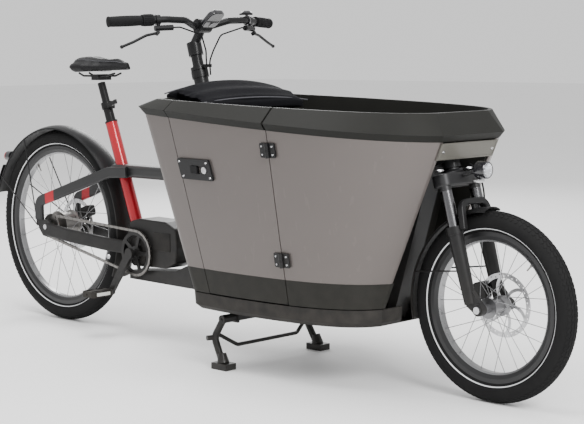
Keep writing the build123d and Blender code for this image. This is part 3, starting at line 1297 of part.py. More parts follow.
def hinge_point(z, out):
    """A point of the door's hinge line."""
    return at(DOOR_FRONT_X, -skin_half(DOOR_FRONT_X, z) - out, z)


HINGE_OUT = 12.2
LEAF_LIFT = {-1: 7.4, 1: 5.3}
hinge_run = (hinge_point(HINGE_Z[0], 0) - hinge_point(HINGE_Z[1], 0)).normalized()
HINGE_FACE = Vector(1, 0, 0).cross(hinge_run).normalized()
if HINGE_FACE.Y > 0:
    HINGE_FACE = HINGE_FACE * -1


def hinge_leaf(z, direction, knuckle_from, knuckle_to):
    """One leaf of a hinge: ahead of the line (1) or behind it (-1), with its knuckle."""
    pivot = hinge_point(z, 0) + HINGE_FACE * HINGE_OUT
    leaf = Plane(origin=pivot - HINGE_FACE * (HINGE_OUT - LEAF_LIFT[direction]), x_dir=hinge_run,
                 z_dir=HINGE_FACE)
    across = leaf.y_dir.X * direction
    with BuildSketch(leaf) as shape:
        with Locations((0, across * (LEAF_W / 2 + 2))):
            RectangleRounded(LEAF_H, LEAF_W, 4)
    extrude(shape.sketch, amount=LEAF_T)
    rod(pivot + hinge_run * knuckle_from, pivot + hinge_run * knuckle_to, KNUCKLE_R)


with BuildPart() as hinge_leaves:
    for z in HINGE_Z:
        pivot = hinge_point(z, 0) + HINGE_FACE * HINGE_OUT
        hinge_leaf(z, 1, 0.5, LEAF_H / 2)
        rod(pivot - hinge_run * (LEAF_H / 2 + 3), pivot - hinge_run * 0, KNUCKLE_R + 0.5,
            mode=Mode.SUBTRACT)
        rod(pivot - hinge_run * LEAF_H / 2, pivot + hinge_run * 3, HINGE_PIN_R)
save(hinge_leaves, "door_hinges_box_side")

latch_face = Plane(origin=at(LATCH_AT[0], -321.6, LATCH_AT[1]),
                   x_dir=(1, -0.0557, 0), z_dir=(-0.0557, -1, -0.1516))
with BuildPart() as door_fittings:
    for z in HINGE_Z:
        pivot = hinge_point(z, 0) + HINGE_FACE * HINGE_OUT
        hinge_leaf(z, -1, -LEAF_H / 2, -0.5)
        rod(pivot + hinge_run * 0, pivot + hinge_run * (LEAF_H / 2 + 3), KNUCKLE_R + 0.5,
            mode=Mode.SUBTRACT)
        rod(pivot - hinge_run * LEAF_H, pivot + hinge_run * 3, HINGE_PIN_R + RUN_FIT,
            mode=Mode.SUBTRACT)
    with BuildSketch(latch_face) as latch_shape:
        with BuildLine():
            Polyline((-LATCH_SIZE[0] / 2 - LATCH_SLANT, LATCH_SIZE[1] / 2),
                     (LATCH_SIZE[0] / 2 - LATCH_SLANT, LATCH_SIZE[1] / 2),
                     (LATCH_SIZE[0] / 2 + LATCH_SLANT, -LATCH_SIZE[1] / 2),
                     (-LATCH_SIZE[0] / 2 + LATCH_SLANT, -LATCH_SIZE[1] / 2), close=True)
        make_face()
        fillet(vertices(), 6)
        with Locations((4, 0)):
            RectangleRounded(PULL_SIZE[0] + PULL_TRAVEL + 2, PULL_SIZE[1] + 2, 4, mode=Mode.SUBTRACT)
    extrude(latch_shape.sketch, amount=LATCH_T)
save(door_fittings, "door_hinges_and_latch_plate")

with BuildPart() as latch_pull:
    with BuildSketch(latch_face) as pull_shape:
        with Locations((4 - PULL_TRAVEL / 2, 0)):
            RectangleRounded(PULL_SIZE[0], PULL_SIZE[1], 3)
    extrude(pull_shape.sketch, amount=LATCH_T + 3)
save(latch_pull, "latch_pull")

PLATE_HALF = 125
PLATE_Z = (668, 715)
PLATE_T = 4
front_slope = (BOX_TOP[-1][0] - BOX_BASE[-1][0]) / (EDGE_Z[1] - BOX_BASE_Z)
with BuildPart() as front_plate:
    plate_x = [BOX_BASE[-1][0] + (z - BOX_BASE_Z) * front_slope + SEAT_GAP for z in PLATE_Z]
    side_plate([(plate_x[0], PLATE_Z[0]), (plate_x[0] + PLATE_T, PLATE_Z[0]),
                (plate_x[1] + PLATE_T, PLATE_Z[1]), (plate_x[1], PLATE_Z[1])], -PLATE_HALF, PLATE_HALF)
save(front_plate, "front_plate")

# ---- centre stand ------------------------------------------------------------------------------------
STAND_LEG_R = 11
BAIL_R = 6
FOOT_H = 20
with BuildPart() as stand:
    rod(at(STAND_PIVOT_X, -STAND_LEG_Y - 8, STAND_PIVOT_Z),
        at(STAND_PIVOT_X, STAND_LEG_Y + 8, STAND_PIVOT_Z), STAND_TUBE_R)
    for side in (-1, 1):
        knee = at(1008, side * (STAND_LEG_Y + 4), 92)
        swept_rod([at(STAND_PIVOT_X, side * STAND_LEG_Y, STAND_PIVOT_Z), knee,
                   at(1052, side * (STAND_LEG_Y + 10), 12)], [30], STAND_LEG_R)
        rod(knee + Vector(4, 0, 0), knee + Vector(-6, side * 26, 0), 8)
        with Locations(at(1054, side * (STAND_LEG_Y + 10), FOOT_H / 2)):
            Box(64, 44, FOOT_H)
        taper(at(1053, side * (STAND_LEG_Y + 10), FOOT_H - 1),
              at(1046, side * (STAND_LEG_Y + 9), FOOT_H + 28), 19, 13)
    swept_rod([at(1014, -STAND_LEG_Y, 104), at(1034, -132, 62), at(1034, 132, 62),
               at(1014, STAND_LEG_Y, 104)], [24, 24], BAIL_R)
save(stand, "centre_stand")
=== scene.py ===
"""Cargo bicycle: finishes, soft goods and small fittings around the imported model."""

import json
import math

import bmesh
import bpy
from bpy.props import FloatProperty, FloatVectorProperty, IntProperty, PointerProperty
from mathutils import Matrix, Vector


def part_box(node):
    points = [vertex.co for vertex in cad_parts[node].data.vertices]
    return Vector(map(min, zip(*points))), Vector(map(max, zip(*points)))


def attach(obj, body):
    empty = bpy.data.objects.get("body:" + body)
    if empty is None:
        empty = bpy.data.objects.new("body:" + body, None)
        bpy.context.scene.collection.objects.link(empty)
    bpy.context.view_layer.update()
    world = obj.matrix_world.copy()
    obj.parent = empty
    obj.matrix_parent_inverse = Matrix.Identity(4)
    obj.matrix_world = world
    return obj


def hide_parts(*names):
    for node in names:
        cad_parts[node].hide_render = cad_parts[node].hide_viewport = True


bl_info = {
    "name": "Cargo bicycle dresser",
    "version": (1, 0, 0),
    "blender": (4, 5, 0),
    "location": "3D View > Sidebar > Cargo bicycle",
    "description": "Builds the bicycle's finishes, soft goods, tyres, chain and small fittings",
    "category": "Object",
}

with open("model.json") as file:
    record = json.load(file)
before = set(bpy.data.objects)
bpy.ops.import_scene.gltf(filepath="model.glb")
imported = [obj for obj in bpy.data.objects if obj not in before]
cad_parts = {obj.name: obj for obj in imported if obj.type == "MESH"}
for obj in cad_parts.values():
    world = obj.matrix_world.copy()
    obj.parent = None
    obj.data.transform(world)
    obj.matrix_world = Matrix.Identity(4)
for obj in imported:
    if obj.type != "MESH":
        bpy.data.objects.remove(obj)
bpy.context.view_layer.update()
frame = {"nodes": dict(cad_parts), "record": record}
JOINTS = {joint["name"]: joint for joint in frame["record"]["behaviour"]["joints"]}
X_AXIS = Vector((1, 0, 0))
Y_AXIS = Vector((0, 1, 0))


# the camera: lens in millimetres, yaw, rise and roll in radians, place in metres
CAMERA_LENS = 93.05
CAMERA_TURN = (0.7724039839, 0.1090220674, -0.0059006303)
CAMERA_PLACE = Vector((3.463, -3.305, 0.975))
CAMERA_SHIFT = (-0.00053, 0.0008)

# places on the model, in metres; a station is measured from the rear axle
MIDDLE_STATION = 0.903
LATCH_PLATE = Vector((0.16101, -0.3216, 0.619))
LATCH_FACE = Vector((-0.0557, -1.0, -0.1516)).normalized()
LATCH_THICK = 0.006
HINGE_DROP = 0.3206
BOX_LEAF_DEPTH = 0.0029
DOOR_LEAF_DEPTH = 0.0008
DISPLAY_STATION = 0.790
DISPLAY_HEIGHT = 1.072
FORK_LEG_Y = 0.066
GRIP_LENGTH = 0.104
GRIP_START = 0.125
REAR_BEAD = 0.2795
FRONT_BEAD = 0.203
RIM_DEPTH = 0.021
COVER_WALL = (0.8895, 0.530, 0.2655)
PAD_GAP = 0.006


def pivot(name):
    """The point of a hinge's axis."""
    return Vector(JOINTS[name]["pos_m"])


def corners(node):
    """The lowest and the highest corner of a node's box."""
    return tuple(map(Vector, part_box(node)))


# ---- shader helpers ---------------------------------------------------------------------------
class Socket:
    """An output that adds Math nodes when it is used in an expression."""

    def __init__(self, shader, output):
        self.shader = shader
        self.output = output

    def math(self, operation, *values):
        """One Math node on this kind of values."""
        return self.shader.node("ShaderNodeMath", {"operation": operation}, dict(enumerate(values)))

    def __add__(self, other):
        return self.math("ADD", self, other)

    def __radd__(self, other):
        return self.math("ADD", other, self)

    def __sub__(self, other):
        return self.math("SUBTRACT", self, other)

    def __rsub__(self, other):
        return self.math("SUBTRACT", other, self)

    def __mul__(self, other):
        return self.math("MULTIPLY", self, other)

    def __rmul__(self, other):
        return self.math("MULTIPLY", other, self)

    def __gt__(self, other):
        return self.math("GREATER_THAN", self, other)

    def __lt__(self, other):
        return self.math("LESS_THAN", self, other)

    def __abs__(self):
        return self.math("ABSOLUTE", self)

    def sine(self):
        """The sine of this value."""
        return self.math("SINE", self)

    def root(self):
        """The square root of this value."""
        return self.math("SQRT", self)

    def between(self, low, high):
        """One where this value lies between two numbers, else zero."""
        return (self > low) * (self < high)


class Shader:
    """A material's node tree around one Principled shader."""

    def __init__(self, name):
        self.material = bpy.data.materials.new(name)
        self.material.use_nodes = True
        self.tree = self.material.node_tree
        self.surface = self.tree.nodes["Principled BSDF"]
        place = self.tree.nodes.new("ShaderNodeTexCoord")
        self.place = Socket(self, place.outputs["Object"])

    def node(self, kind, settings, values, output=0):
        """Any other node, from its type, its settings and its sockets' values or links."""
        made = self.tree.nodes.new(kind)
        for name, value in settings.items():
            setattr(made, name, value)
        for key, value in values.items():
            if isinstance(value, Socket):
                self.tree.links.new(value.output, made.inputs[key])
            else:
                made.inputs[key].default_value = value
        return Socket(self, made.outputs[output])

    def axis(self, index):
        """One coordinate of the point, in metres."""
        return self.node("ShaderNodeSeparateXYZ", {}, {0: self.place}, index)

    def noise(self, scale, detail=3.0, stretch=None):
        """A noise between 0 and 1; stretch scales it along X, Y and Z."""
        place = self.place
        if stretch:
            place = self.node("ShaderNodeMapping", {}, {"Vector": place, "Scale": stretch})
        return self.node("ShaderNodeTexNoise", {}, {"Vector": place, "Scale": scale, "Detail": detail})

    def cells(self, scale):
        """The distance to the nearest cell's middle."""
        return self.node("ShaderNodeTexVoronoi", {}, {"Vector": self.place, "Scale": scale})

    def blend(self, share, first, second):
        """A colour between two colours."""
        return self.node("ShaderNodeMix", {"data_type": "RGBA"}, {0: share, 6: first, 7: second}, 2)

    def dusted(self, base, amount, top, scale, dust):
        """A colour with road dust that thins out up to a height."""
        low = self.node("ShaderNodeMapRange", {},
                        {0: self.axis(2), 1: 0.0, 2: top, 3: amount, 4: 0.0})
        return self.blend(low * self.noise(scale, 5.0), base, dust)

    def bump(self, height, distance, strength=1.0):
        """A Bump node's normal."""
        return self.node("ShaderNodeBump", {},
                         {"Height": height, "Distance": distance, "Strength": strength})

    def finish(self, **sockets):
        """Sets the Principled shader's sockets, by name with underscores."""
        for name, value in sockets.items():
            socket = self.surface.inputs[name.replace("_", " ").title().replace("Ior", "IOR")]
            if isinstance(value, Socket):
                self.tree.links.new(value.output, socket)
            else:
                socket.default_value = value
        return self.material


def rgba(colour, factor=1.0):
    """A colour with alpha, made lighter or darker."""
    return tuple(min(1.0, part * factor) for part in colour[:3]) + (1.0,)


def painted(name, colour, rough, metal=0.0, grain=700.0, depth=0.00004, coat=0.0, spread=0.12,
            dust=0.0):
    """Paint, powder coat or moulded plastic, with drift, grain, scuffs and dust."""
    s = Shader(name)
    drift = s.noise(7.0, 4.0)
    fine = s.noise(grain, 2.0)
    scuffs = s.noise(60.0, 6.0, (1.0, 1.0, 0.25)) > 0.66
    base = s.blend(drift, rgba(colour, 1 - spread), rgba(colour, 1 + spread))
    base = s.blend(scuffs * 0.10, base, rgba(colour, 1.8))
    if dust:
        base = s.dusted(base, dust, 0.55, 35.0, (0.30, 0.27, 0.23, 1.0))
    return s.finish(base_color=base, roughness=rough - 0.06 + drift * 0.08 + fine * 0.06 + scuffs * 0.06,
                    metallic=metal, specular_ior_level=0.18, coat_weight=coat, coat_roughness=0.08,
                    normal=s.bump(fine, depth))


def moulded(name, colour, rough, dust=0.0):
    """Grained black plastic with a leather-like texture."""
    s = Shader(name)
    drift = s.noise(9.0, 4.0)
    cells = s.cells(620.0)
    base = s.blend(drift, rgba(colour, 0.8), rgba(colour, 1.25))
    base = s.blend(cells * 0.35, base, rgba(colour, 1.6))
    if dust:
        base = s.dusted(base, dust, 0.6, 30.0, (0.28, 0.25, 0.21, 1.0))
    return s.finish(base_color=base, roughness=rough + drift * 0.1 - cells * 0.08,
                    specular_ior_level=0.12,
                    normal=s.bump(cells, 0.00012, 0.7))


def brushed(name, colour, rough, scale=(1.0, 1.0, 1.0)):
    """Metal with fine turning or brushing lines."""
    s = Shader(name)
    lines = s.noise(420.0, 2.0, scale)
    drift = s.noise(25.0, 4.0)
    base = s.blend(lines, rgba(colour, 0.78), rgba(colour, 1.12))
    return s.finish(base_color=base, metallic=1.0, roughness=rough - 0.08 + lines * 0.14 + drift * 0.06,
                    normal=s.bump(lines, 0.00003))


def woven(name, colour, scale, rough=0.9):
    """Cloth with a plain weave, slightly faded in patches."""
    s = Shader(name)
    warp = (s.axis(0) * scale).sine()
    weft = ((s.axis(1) + s.axis(2) * 0.7) * scale).sine()
    weave = warp * weft * 0.5 + 0.5
    drift = s.noise(11.0, 5.0)
    base = s.blend(drift, rgba(colour, 0.7), rgba(colour, 1.5))
    base = s.blend(weave * 0.5, base, rgba(colour, 2.0))
    return s.finish(base_color=base, roughness=rough - 0.1 + weave * 0.1, sheen_weight=0.01,
                    specular_ior_level=0.05,
                    normal=s.bump(weave, 0.0003, 0.6))


def hide(name, colour, rough):
    """The saddle's grained cover."""
    s = Shader(name)
    cells = s.cells(450.0)
    creases = s.noise(70.0, 6.0)
    base = s.blend(creases, rgba(colour, 0.75), rgba(colour, 1.5))
    return s.finish(base_color=base, roughness=rough + creases * 0.12, specular_ior_level=0.18,
                    normal=s.bump(cells * 0.6 + creases * 0.4, 0.0002, 0.7))


def rubber(name, colour, rough, dust=0.25):
    """Tyre rubber with a fine grain and road dust."""
    s = Shader(name)
    drift = s.noise(14.0, 5.0)
    fine = s.noise(900.0, 2.0)
    base = s.blend(drift, rgba(colour, 0.75), rgba(colour, 1.35))
    base = s.blend(s.noise(40.0, 6.0) * dust * 0.3, base, (0.10, 0.095, 0.085, 1.0))
    return s.finish(base_color=base, roughness=rough + drift * 0.12, specular_ior_level=0.12,
                    normal=s.bump(fine, 0.0001))


def rim_and_spokes(name, axle, edge):
    """Black anodised outside a radius, bright spokes inside it."""
    s = Shader(name)
    along = s.axis(0) - axle.x
    up = s.axis(2) - axle.z
    radius = (along * along + up * up).root()
    spokes = radius < edge
    drift = s.noise(30.0, 4.0)
    black = s.blend(drift, (0.006, 0.006, 0.0065, 1), (0.012, 0.012, 0.013, 1))
    steel = s.blend(drift, (0.20, 0.20, 0.205, 1), (0.34, 0.34, 0.345, 1))
    return s.finish(base_color=s.blend(spokes, black, steel), metallic=spokes * 0.95,
                    roughness=0.36 + drift * 0.08 - spokes * 0.12,
                    normal=s.bump(s.noise(500.0), 0.00004))


def fork_finish(name, crown, down):
    """Black crown and steerer, dark plated stanchions below a plane along the fork."""
    s = Shader(name)
    t = (s.axis(0) - crown.x) * down.x + (s.axis(2) - crown.z) * down.z
    leg = (t > 0.03) * (abs(s.axis(1)) > 0.03)
    lines = s.noise(600.0, 2.0, (1.0, 1.0, 0.1))
    drift = s.noise(20.0, 4.0)
    black = s.blend(drift, (0.007, 0.007, 0.0075, 1), (0.012, 0.012, 0.013, 1))
    steel = s.blend(lines, (0.10, 0.10, 0.105, 1), (0.17, 0.17, 0.175, 1))
    return s.finish(base_color=s.blend(leg, black, steel), metallic=leg * 1.0,
                    roughness=0.42 - leg * 0.22 + lines * 0.06, normal=s.bump(lines, 0.00002))


def stay_finish(name, black, red, low, high):
    """Black tubes with a red band between two stations, well behind the seat tube."""
    s = Shader(name)
    band = s.axis(0).between(low, high)
    drift = s.noise(12.0, 4.0)
    fine = s.noise(700.0, 2.0)
    base = s.blend(drift, rgba(black, 0.85), rgba(black, 1.25))
    base = s.blend(band, base, rgba(red))
    return s.finish(base_color=base, roughness=0.44 - band * 0.16 + fine * 0.06,
                    metallic=band * 0.35, normal=s.bump(fine, 0.00004))


def clear(name, colour, rough=0.04):
    """A lens with faint prisms moulded inside."""
    s = Shader(name)
    ribs = (s.axis(1) * 1500.0).sine() * 0.5 + 0.5
    base = s.blend(ribs * 0.3, rgba(colour), rgba(colour, 0.75))
    return s.finish(base_color=base, roughness=rough + ribs * 0.04, transmission_weight=0.85,
                    ior=1.49, normal=s.bump(ribs, 0.0002, 0.5))


def gloss(name, colour, rough=0.12, metal=0.0, coat=0.6):
    """Polished plastic or enamel with faint handling marks."""
    s = Shader(name)
    smear = s.noise(45.0, 5.0)
    base = s.blend(smear, rgba(colour, 0.85), rgba(colour, 1.2))
    return s.finish(base_color=base, roughness=rough + smear * 0.08, metallic=metal,
                    coat_weight=coat, coat_roughness=0.05, normal=s.bump(s.noise(300.0), 0.00001))


def reflective(name, colour):
    """A retroreflective strip: pale with a fine bead texture."""
    s = Shader(name)
    beads = s.cells(1400.0)
    base = s.blend(beads * 0.6, rgba(colour), rgba(colour, 0.72))
    return s.finish(base_color=base, roughness=0.32 + beads * 0.1, metallic=0.1,
                    normal=s.bump(beads, 0.00005))


# ---- mesh helpers -------------------------------------------------------------------------------
def facing(origin, direction):
    """A matrix whose Z lies along a direction, at a point."""
    turn = Vector(direction).to_track_quat("Z", "Y").to_matrix().to_4x4()
    return Matrix.Translation(origin) @ turn


def axes(first, second, third):
    """A turn whose axes are three directions."""
    return Matrix((first, second, third)).transposed().to_4x4()


def dent(away, half, depth):
    """How deep a sewn channel is, at a distance from its middle."""
    return depth * (1 - away / half) ** 2 if away < half else 0.0


def make(name, bm, body, finishes, replaces=(), sharp=35.0):
    """A finished piece from a bmesh: smooth, riding on a body, with its finish."""
    bmesh.ops.remove_doubles(bm, verts=bm.verts, dist=1e-6)
    bmesh.ops.recalc_face_normals(bm, faces=bm.faces)
    mesh = bpy.data.meshes.new(name)
    bm.to_mesh(mesh)
    bm.free()
    piece = bpy.data.objects.new(name, mesh)
    bpy.context.scene.collection.objects.link(piece)
    for finish in finishes:
        mesh.materials.append(FINISHES[finish])
    settle(piece, body, replaces, sharp)
    return piece


def rounded(piece, levels):
    """Subdivides a finished pad."""
    surface = piece.modifiers.new("rounding", "SUBSURF")
    surface.levels = levels
    surface.render_levels = levels


def settle(piece, body, replaces=(), sharp=35.0):
    """Smooth shading and the piece's place in the object."""
    piece.data.polygons.foreach_set("use_smooth", [True] * len(piece.data.polygons))
    piece.data.set_sharp_from_angle(angle=math.radians(sharp))
    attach(piece, body)
    if replaces:
        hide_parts(*replaces)


def lathe(bm, profile, origin, axis, steps=32, closed=False):
    """Spins a profile of (along, radius) points about an axis."""
    axis = Vector(axis).normalized()
    side = axis.orthogonal().normalized()
    points = [bm.verts.new(Vector(origin) + axis * along + side * radius) for along, radius in profile]
    pairs = list(zip(points, points[1:]))
    if closed:
        pairs.append((points[-1], points[0]))
    edges = [bm.edges.new(pair) for pair in pairs]
    bmesh.ops.spin(bm, geom=points + edges, cent=origin, axis=axis, angle=math.tau, steps=steps,
                   use_merge=True)
    bmesh.ops.remove_doubles(bm, verts=bm.verts, dist=1e-6)


def screw(bm, centre, direction, radius=0.0032, height=0.0022):
    """A pan-head screw with a socket in its head."""
    centre = Vector(centre)
    direction = Vector(direction).normalized()
    made = bmesh.ops.create_cone(bm, cap_ends=True, segments=14, radius1=radius,
                                 radius2=radius * 0.8, depth=height,
                                 matrix=facing(centre + direction * height / 2, direction))
    faces = {face for vert in made["verts"] for face in vert.link_faces}
    head = max(faces, key=lambda face: face.calc_center_median().dot(direction))
    bmesh.ops.inset_individual(bm, faces=[head], thickness=radius * 0.34)
    bmesh.ops.inset_individual(bm, faces=[head], thickness=radius * 0.06, depth=-height * 0.6)


def divided(cuts):
    """A cube from -1 to 1, cut into a grid."""
    bm = bmesh.new()
    bmesh.ops.create_cube(bm, size=2.0)
    bmesh.ops.subdivide_edges(bm, edges=bm.edges[:], cuts=cuts, use_grid_fill=True)
    return bm


def block(bm, matrix, size, round_edges=0.0):
    """A box of a size in a matrix's own axes, with rounded edges."""
    made = bmesh.ops.create_cube(bm, size=1.0, matrix=matrix @ Matrix.Diagonal((*size, 1.0)))
    if round_edges:
        edges = list({edge for vert in made["verts"] for edge in vert.link_edges})
        bmesh.ops.bevel(bm, geom=edges, offset=round_edges, offset_type="OFFSET", segments=3,
                        profile=0.5, affect="EDGES", material=-1)


def tube(name, points, radius, body, finish):
    """A smooth rod through points, as a mesh."""
    curve = bpy.data.curves.new(name, "CURVE")
    curve.dimensions = "3D"
    curve.bevel_depth = radius
    curve.bevel_resolution = 4
    curve.resolution_u = 10
    curve.use_fill_caps = True
    line = curve.splines.new("NURBS")
    line.points.add(len(points) - 1)
    for point, place in zip(line.points, points):
        point.co = (*place, 1.0)
    line.order_u = 3
    line.use_endpoint_u = True
    holder = bpy.data.objects.new(name + "_line", curve)
    bpy.context.scene.collection.objects.link(holder)
    bpy.context.view_layer.update()
    graph = bpy.context.evaluated_depsgraph_get()
    mesh = bpy.data.meshes.new_from_object(holder.evaluated_get(graph))
    bpy.data.objects.remove(holder)
    piece = bpy.data.objects.new(name, mesh)
    bpy.context.scene.collection.objects.link(piece)
    mesh.materials.clear()
    mesh.materials.append(FINISHES[finish])
    settle(piece, body)
    return piece


def baked(piece):
    """Applies a piece's modifiers."""
    graph = bpy.context.evaluated_depsgraph_get()
    mesh = bpy.data.meshes.new_from_object(piece.evaluated_get(graph))
    old = piece.data
    piece.modifiers.clear()
    piece.data = mesh
    bpy.data.meshes.remove(old)


def filled(piece, voxel, pressure, cap):
    """Remeshes a pad evenly and lets its filling swell it, up to a cap."""
    even = piece.modifiers.new("even", "REMESH")
    even.mode = "VOXEL"
    even.voxel_size = voxel
    baked(piece)
    start = [vert.co.copy() for vert in piece.data.vertices]
    cloth = piece.modifiers.new("filling", "CLOTH")
    cloth.settings.quality = 5
    cloth.settings.use_pressure = True
    cloth.settings.uniform_pressure_force = pressure
    cloth.settings.effector_weights.gravity = 0
    cloth.settings.tension_stiffness = 12
    cloth.settings.compression_stiffness = 12
    scene = bpy.context.scene
    for number in range(1, 21):
        scene.frame_set(number)
    graph = bpy.context.evaluated_depsgraph_get()
    swollen = bpy.data.meshes.new_from_object(piece.evaluated_get(graph))
    moved = [vert.co.copy() for vert in swollen.vertices]
    bpy.data.meshes.remove(swollen)
    piece.modifiers.clear()
    scene.frame_set(1)
    for vert, before, after in zip(piece.data.vertices, start, moved):
        step = after - before
        if step.length > cap:
            step = step.normalized() * cap
        vert.co = before + step


def repaint(node, material):
    """Gives a CAD node its finish."""
    target = frame["nodes"][node]
    for place in target.material_slots:
        place.material = material


# ---- what a user would change -------------------------------------------------------------------
class FinishColours(bpy.types.PropertyGroup):
    """The bicycle's colours."""

    panel: FloatVectorProperty(name="Panels", description="Paint of the box's panels",
                               subtype="COLOR", size=3, default=(0.122, 0.107, 0.101))
    accent: FloatVectorProperty(name="Accent", description="Paint of the seat tube and the bands",
                                subtype="COLOR", size=3, default=(0.40, 0.009, 0.018))
    black: FloatVectorProperty(name="Black parts", description="Powder coat and plastic",
                               subtype="COLOR", size=3, default=(0.0085, 0.0085, 0.009))
    rim: FloatVectorProperty(name="Box rim", description="Moulded rim and tub",
                             subtype="COLOR", size=3, default=(0.0125, 0.0125, 0.0112))
    plate: FloatVectorProperty(name="Front plate", description="The blank plate on the box's front",
                               subtype="COLOR", size=3, default=(0.115, 0.110, 0.095))


class TyreSizes(bpy.types.PropertyGroup):
    """The tyres' tread and stripe."""

    block_length: FloatProperty(name="Tread block", description="Length of a tread block",
                                unit="LENGTH", default=0.0125)
    block_height: FloatProperty(name="Tread depth", description="Height of a tread block",
                                unit="LENGTH", default=0.0008)
    stripe: FloatProperty(name="Stripe", description="Width of the reflective stripe",
                          unit="LENGTH", default=0.0035)
    pitch: FloatProperty(name="Tread pitch", description="Distance from block to block",
                         unit="LENGTH", default=0.0165)


class PaddingSizes(bpy.types.PropertyGroup):
    """The soft goods' shape."""

    voxel: FloatProperty(name="Mesh size", description="Even mesh size before the pads are filled",
                         unit="LENGTH", default=0.006)
    pressure: FloatProperty(name="Filling", description="Pressure of the filling", default=4.0)
    piping: FloatProperty(name="Piping", description="Radius of the sewn edges",
                          unit="LENGTH", default=0.0022)


class ChainSizes(bpy.types.PropertyGroup):
    """The drive chain."""

    ring: FloatProperty(name="Chainring", description="Radius of the chain on the chainring",
                        unit="LENGTH", default=0.0750)
    cog: FloatProperty(name="Cog", description="Radius of the chain on the cog",
                       unit="LENGTH", default=0.0405)
    links: IntProperty(name="Links", description="Number of links in the chain", default=102)


def settings():
    """The scene's property groups."""
    return bpy.context.scene.cargo_bicycle


class CargoBicycle(bpy.types.PropertyGroup):
    """All of the bicycle's properties."""

    colours: PointerProperty(type=FinishColours)
    tyres: PointerProperty(type=TyreSizes)
    padding: PointerProperty(type=PaddingSizes)
    chain: PointerProperty(type=ChainSizes)


FINISHES = {}


# ---- operators -------------------------------------------------------------------------------------
class BIKE_OT_finishes(bpy.types.Operator):
    """Makes the finishes and gives each CAD node its own."""

    bl_idname = "bike.finishes"
    bl_label = "Finishes"

    def execute(self, context):
        """Makes every material and repaints the nodes."""
        colours = settings().colours
        black, rim = colours.black, colours.rim
        rear, front = pivot("rear_wheel_spin"), pivot("front_wheel_spin")
        crown = pivot("fork_steering")
        down = -Vector(JOINTS["fork_steering"]["axis"])
        made = {
            "panel": painted("satin_panel_paint", colours.panel, 0.36, 0.35, 900.0, 0.00002, 0.15,
                             0.03, 0.12),
            "accent": painted("red_metallic_paint", colours.accent, 0.30, 0.35, 800.0, 0.00001, 0.8,
                              0.05),
            "black": painted("black_powder_coat", black, 0.44, 0.0, 800.0, 0.00005, 0.1, 0.2, 0.1),
            "plastic": moulded("grained_black_plastic", black, 0.56, 0.2),
            "rim": moulded("grained_box_rim", rim, 0.54, 0.1),
            "smooth": painted("smooth_black_plastic", black, 0.40, 0.0, 500.0, 0.00003, 0.0, 0.15,
                              0.15),
            "steel": brushed("brushed_steel", (0.60, 0.60, 0.61), 0.30),
            "dark_steel": brushed("dark_steel", (0.23, 0.22, 0.21), 0.36),
            "alloy": brushed("satin_alloy", (0.24, 0.24, 0.245), 0.38),
            "bright": brushed("bright_alloy", (0.62, 0.62, 0.63), 0.2),
            "grip": rubber("grip_rubber", (0.009, 0.009, 0.0095), 0.66, 0.0),
            "tyre": rubber("tyre_rubber", (0.0075, 0.0075, 0.0078), 0.70, 0.12),
            "fabric": woven("cover_fabric", (0.0055, 0.0055, 0.0065), 3400.0),
            "cushion": woven("cushion_fabric", (0.012, 0.012, 0.014), 2600.0),
            "hide": hide("saddle_cover", (0.008, 0.008, 0.0085), 0.46),
            "gloss": gloss("gloss_black", (0.012, 0.012, 0.014)),
            "glass": gloss("display_glass", (0.010, 0.012, 0.016), 0.06, 0.0, 1.0),
            "lens": clear("clear_lens", (0.95, 0.97, 1.0)),
            "red_lens": gloss("red_lens", (0.42, 0.008, 0.010), 0.1, 0.0, 1.0),
            "mirror": brushed("reflector_chrome", (0.88, 0.88, 0.9), 0.12),
            "stripe": reflective("reflective_stripe", (0.72, 0.73, 0.74)),
            "white": reflective("pedal_reflector", (0.80, 0.80, 0.76)),
            "plate": painted("plate_paint", colours.plate, 0.42, 0.25, 900.0, 0.00002, 0.1, 0.05),
            "stitch": woven("sewing_thread", (0.06, 0.06, 0.065), 6000.0),
            "rear_rim": rim_and_spokes("rear_rim_finish", rear, REAR_BEAD + 0.004 - RIM_DEPTH),
            "front_rim": rim_and_spokes("front_rim_finish", front, FRONT_BEAD + 0.004 - RIM_DEPTH),
            "fork": fork_finish("fork_finish", crown, down),
            "stays": stay_finish("stay_finish", black, colours.accent, rear.x + 0.005,
                                 rear.x + 0.052),
        }
        FINISHES.update(made)
        nodes = {
            "panel": ("side_panel_left", "side_panel_right_front", "side_panel_right_rear",
                      "door_panel"),
            "accent": ("seat_tube",),
            "black": ("chain_stays_and_dropouts", "seat_post_sleeve", "column_sleeve",
                      "head_tube_and_mast", "rear_brake_caliper", "floor_beam",
                      "door_hinges_box_side", "steering_column", "stem", "handlebar",
                      "brake_master_cylinders", "fork_lower_legs", "front_brake_caliper",
                      "crankset", "brake_lever_right", "brake_lever_left", "seat_post_and_rails",
                      "quick_release_lever", "door_hinges_and_latch_plate", "centre_stand"),
            "plastic": ("undercover", "bell_thumb_lever", "latch_pull", "pedal_right",
                        "pedal_left"),
            "rim": ("box_rim", "cargo_tub", "door_liner_and_rim"),
            "smooth": ("rear_mudguard", "front_mudguard", "motor_unit"),
            "steel": ("rear_axle", "front_axle", "front_brake_rotor", "rear_brake_rotor"),
            "alloy": ("front_hub",),
            "dark_steel": ("rear_gear_hub",),
            "grip": ("brake_hoses_and_clip", "twist_shifter"),
            "gloss": ("tail_light", "headlight", "display", "bell"),
            "plate": ("front_plate",),
            "rear_rim": ("rear_rim_and_spokes",),
            "front_rim": ("front_rim_and_spokes",),
            "fork": ("fork_crown_and_stanchions",),
            "stays": ("top_tube_and_seat_stays",),
        }
        for finish, names in nodes.items():
            for name in names:
                repaint(name, made[finish])
        return {"FINISHED"}


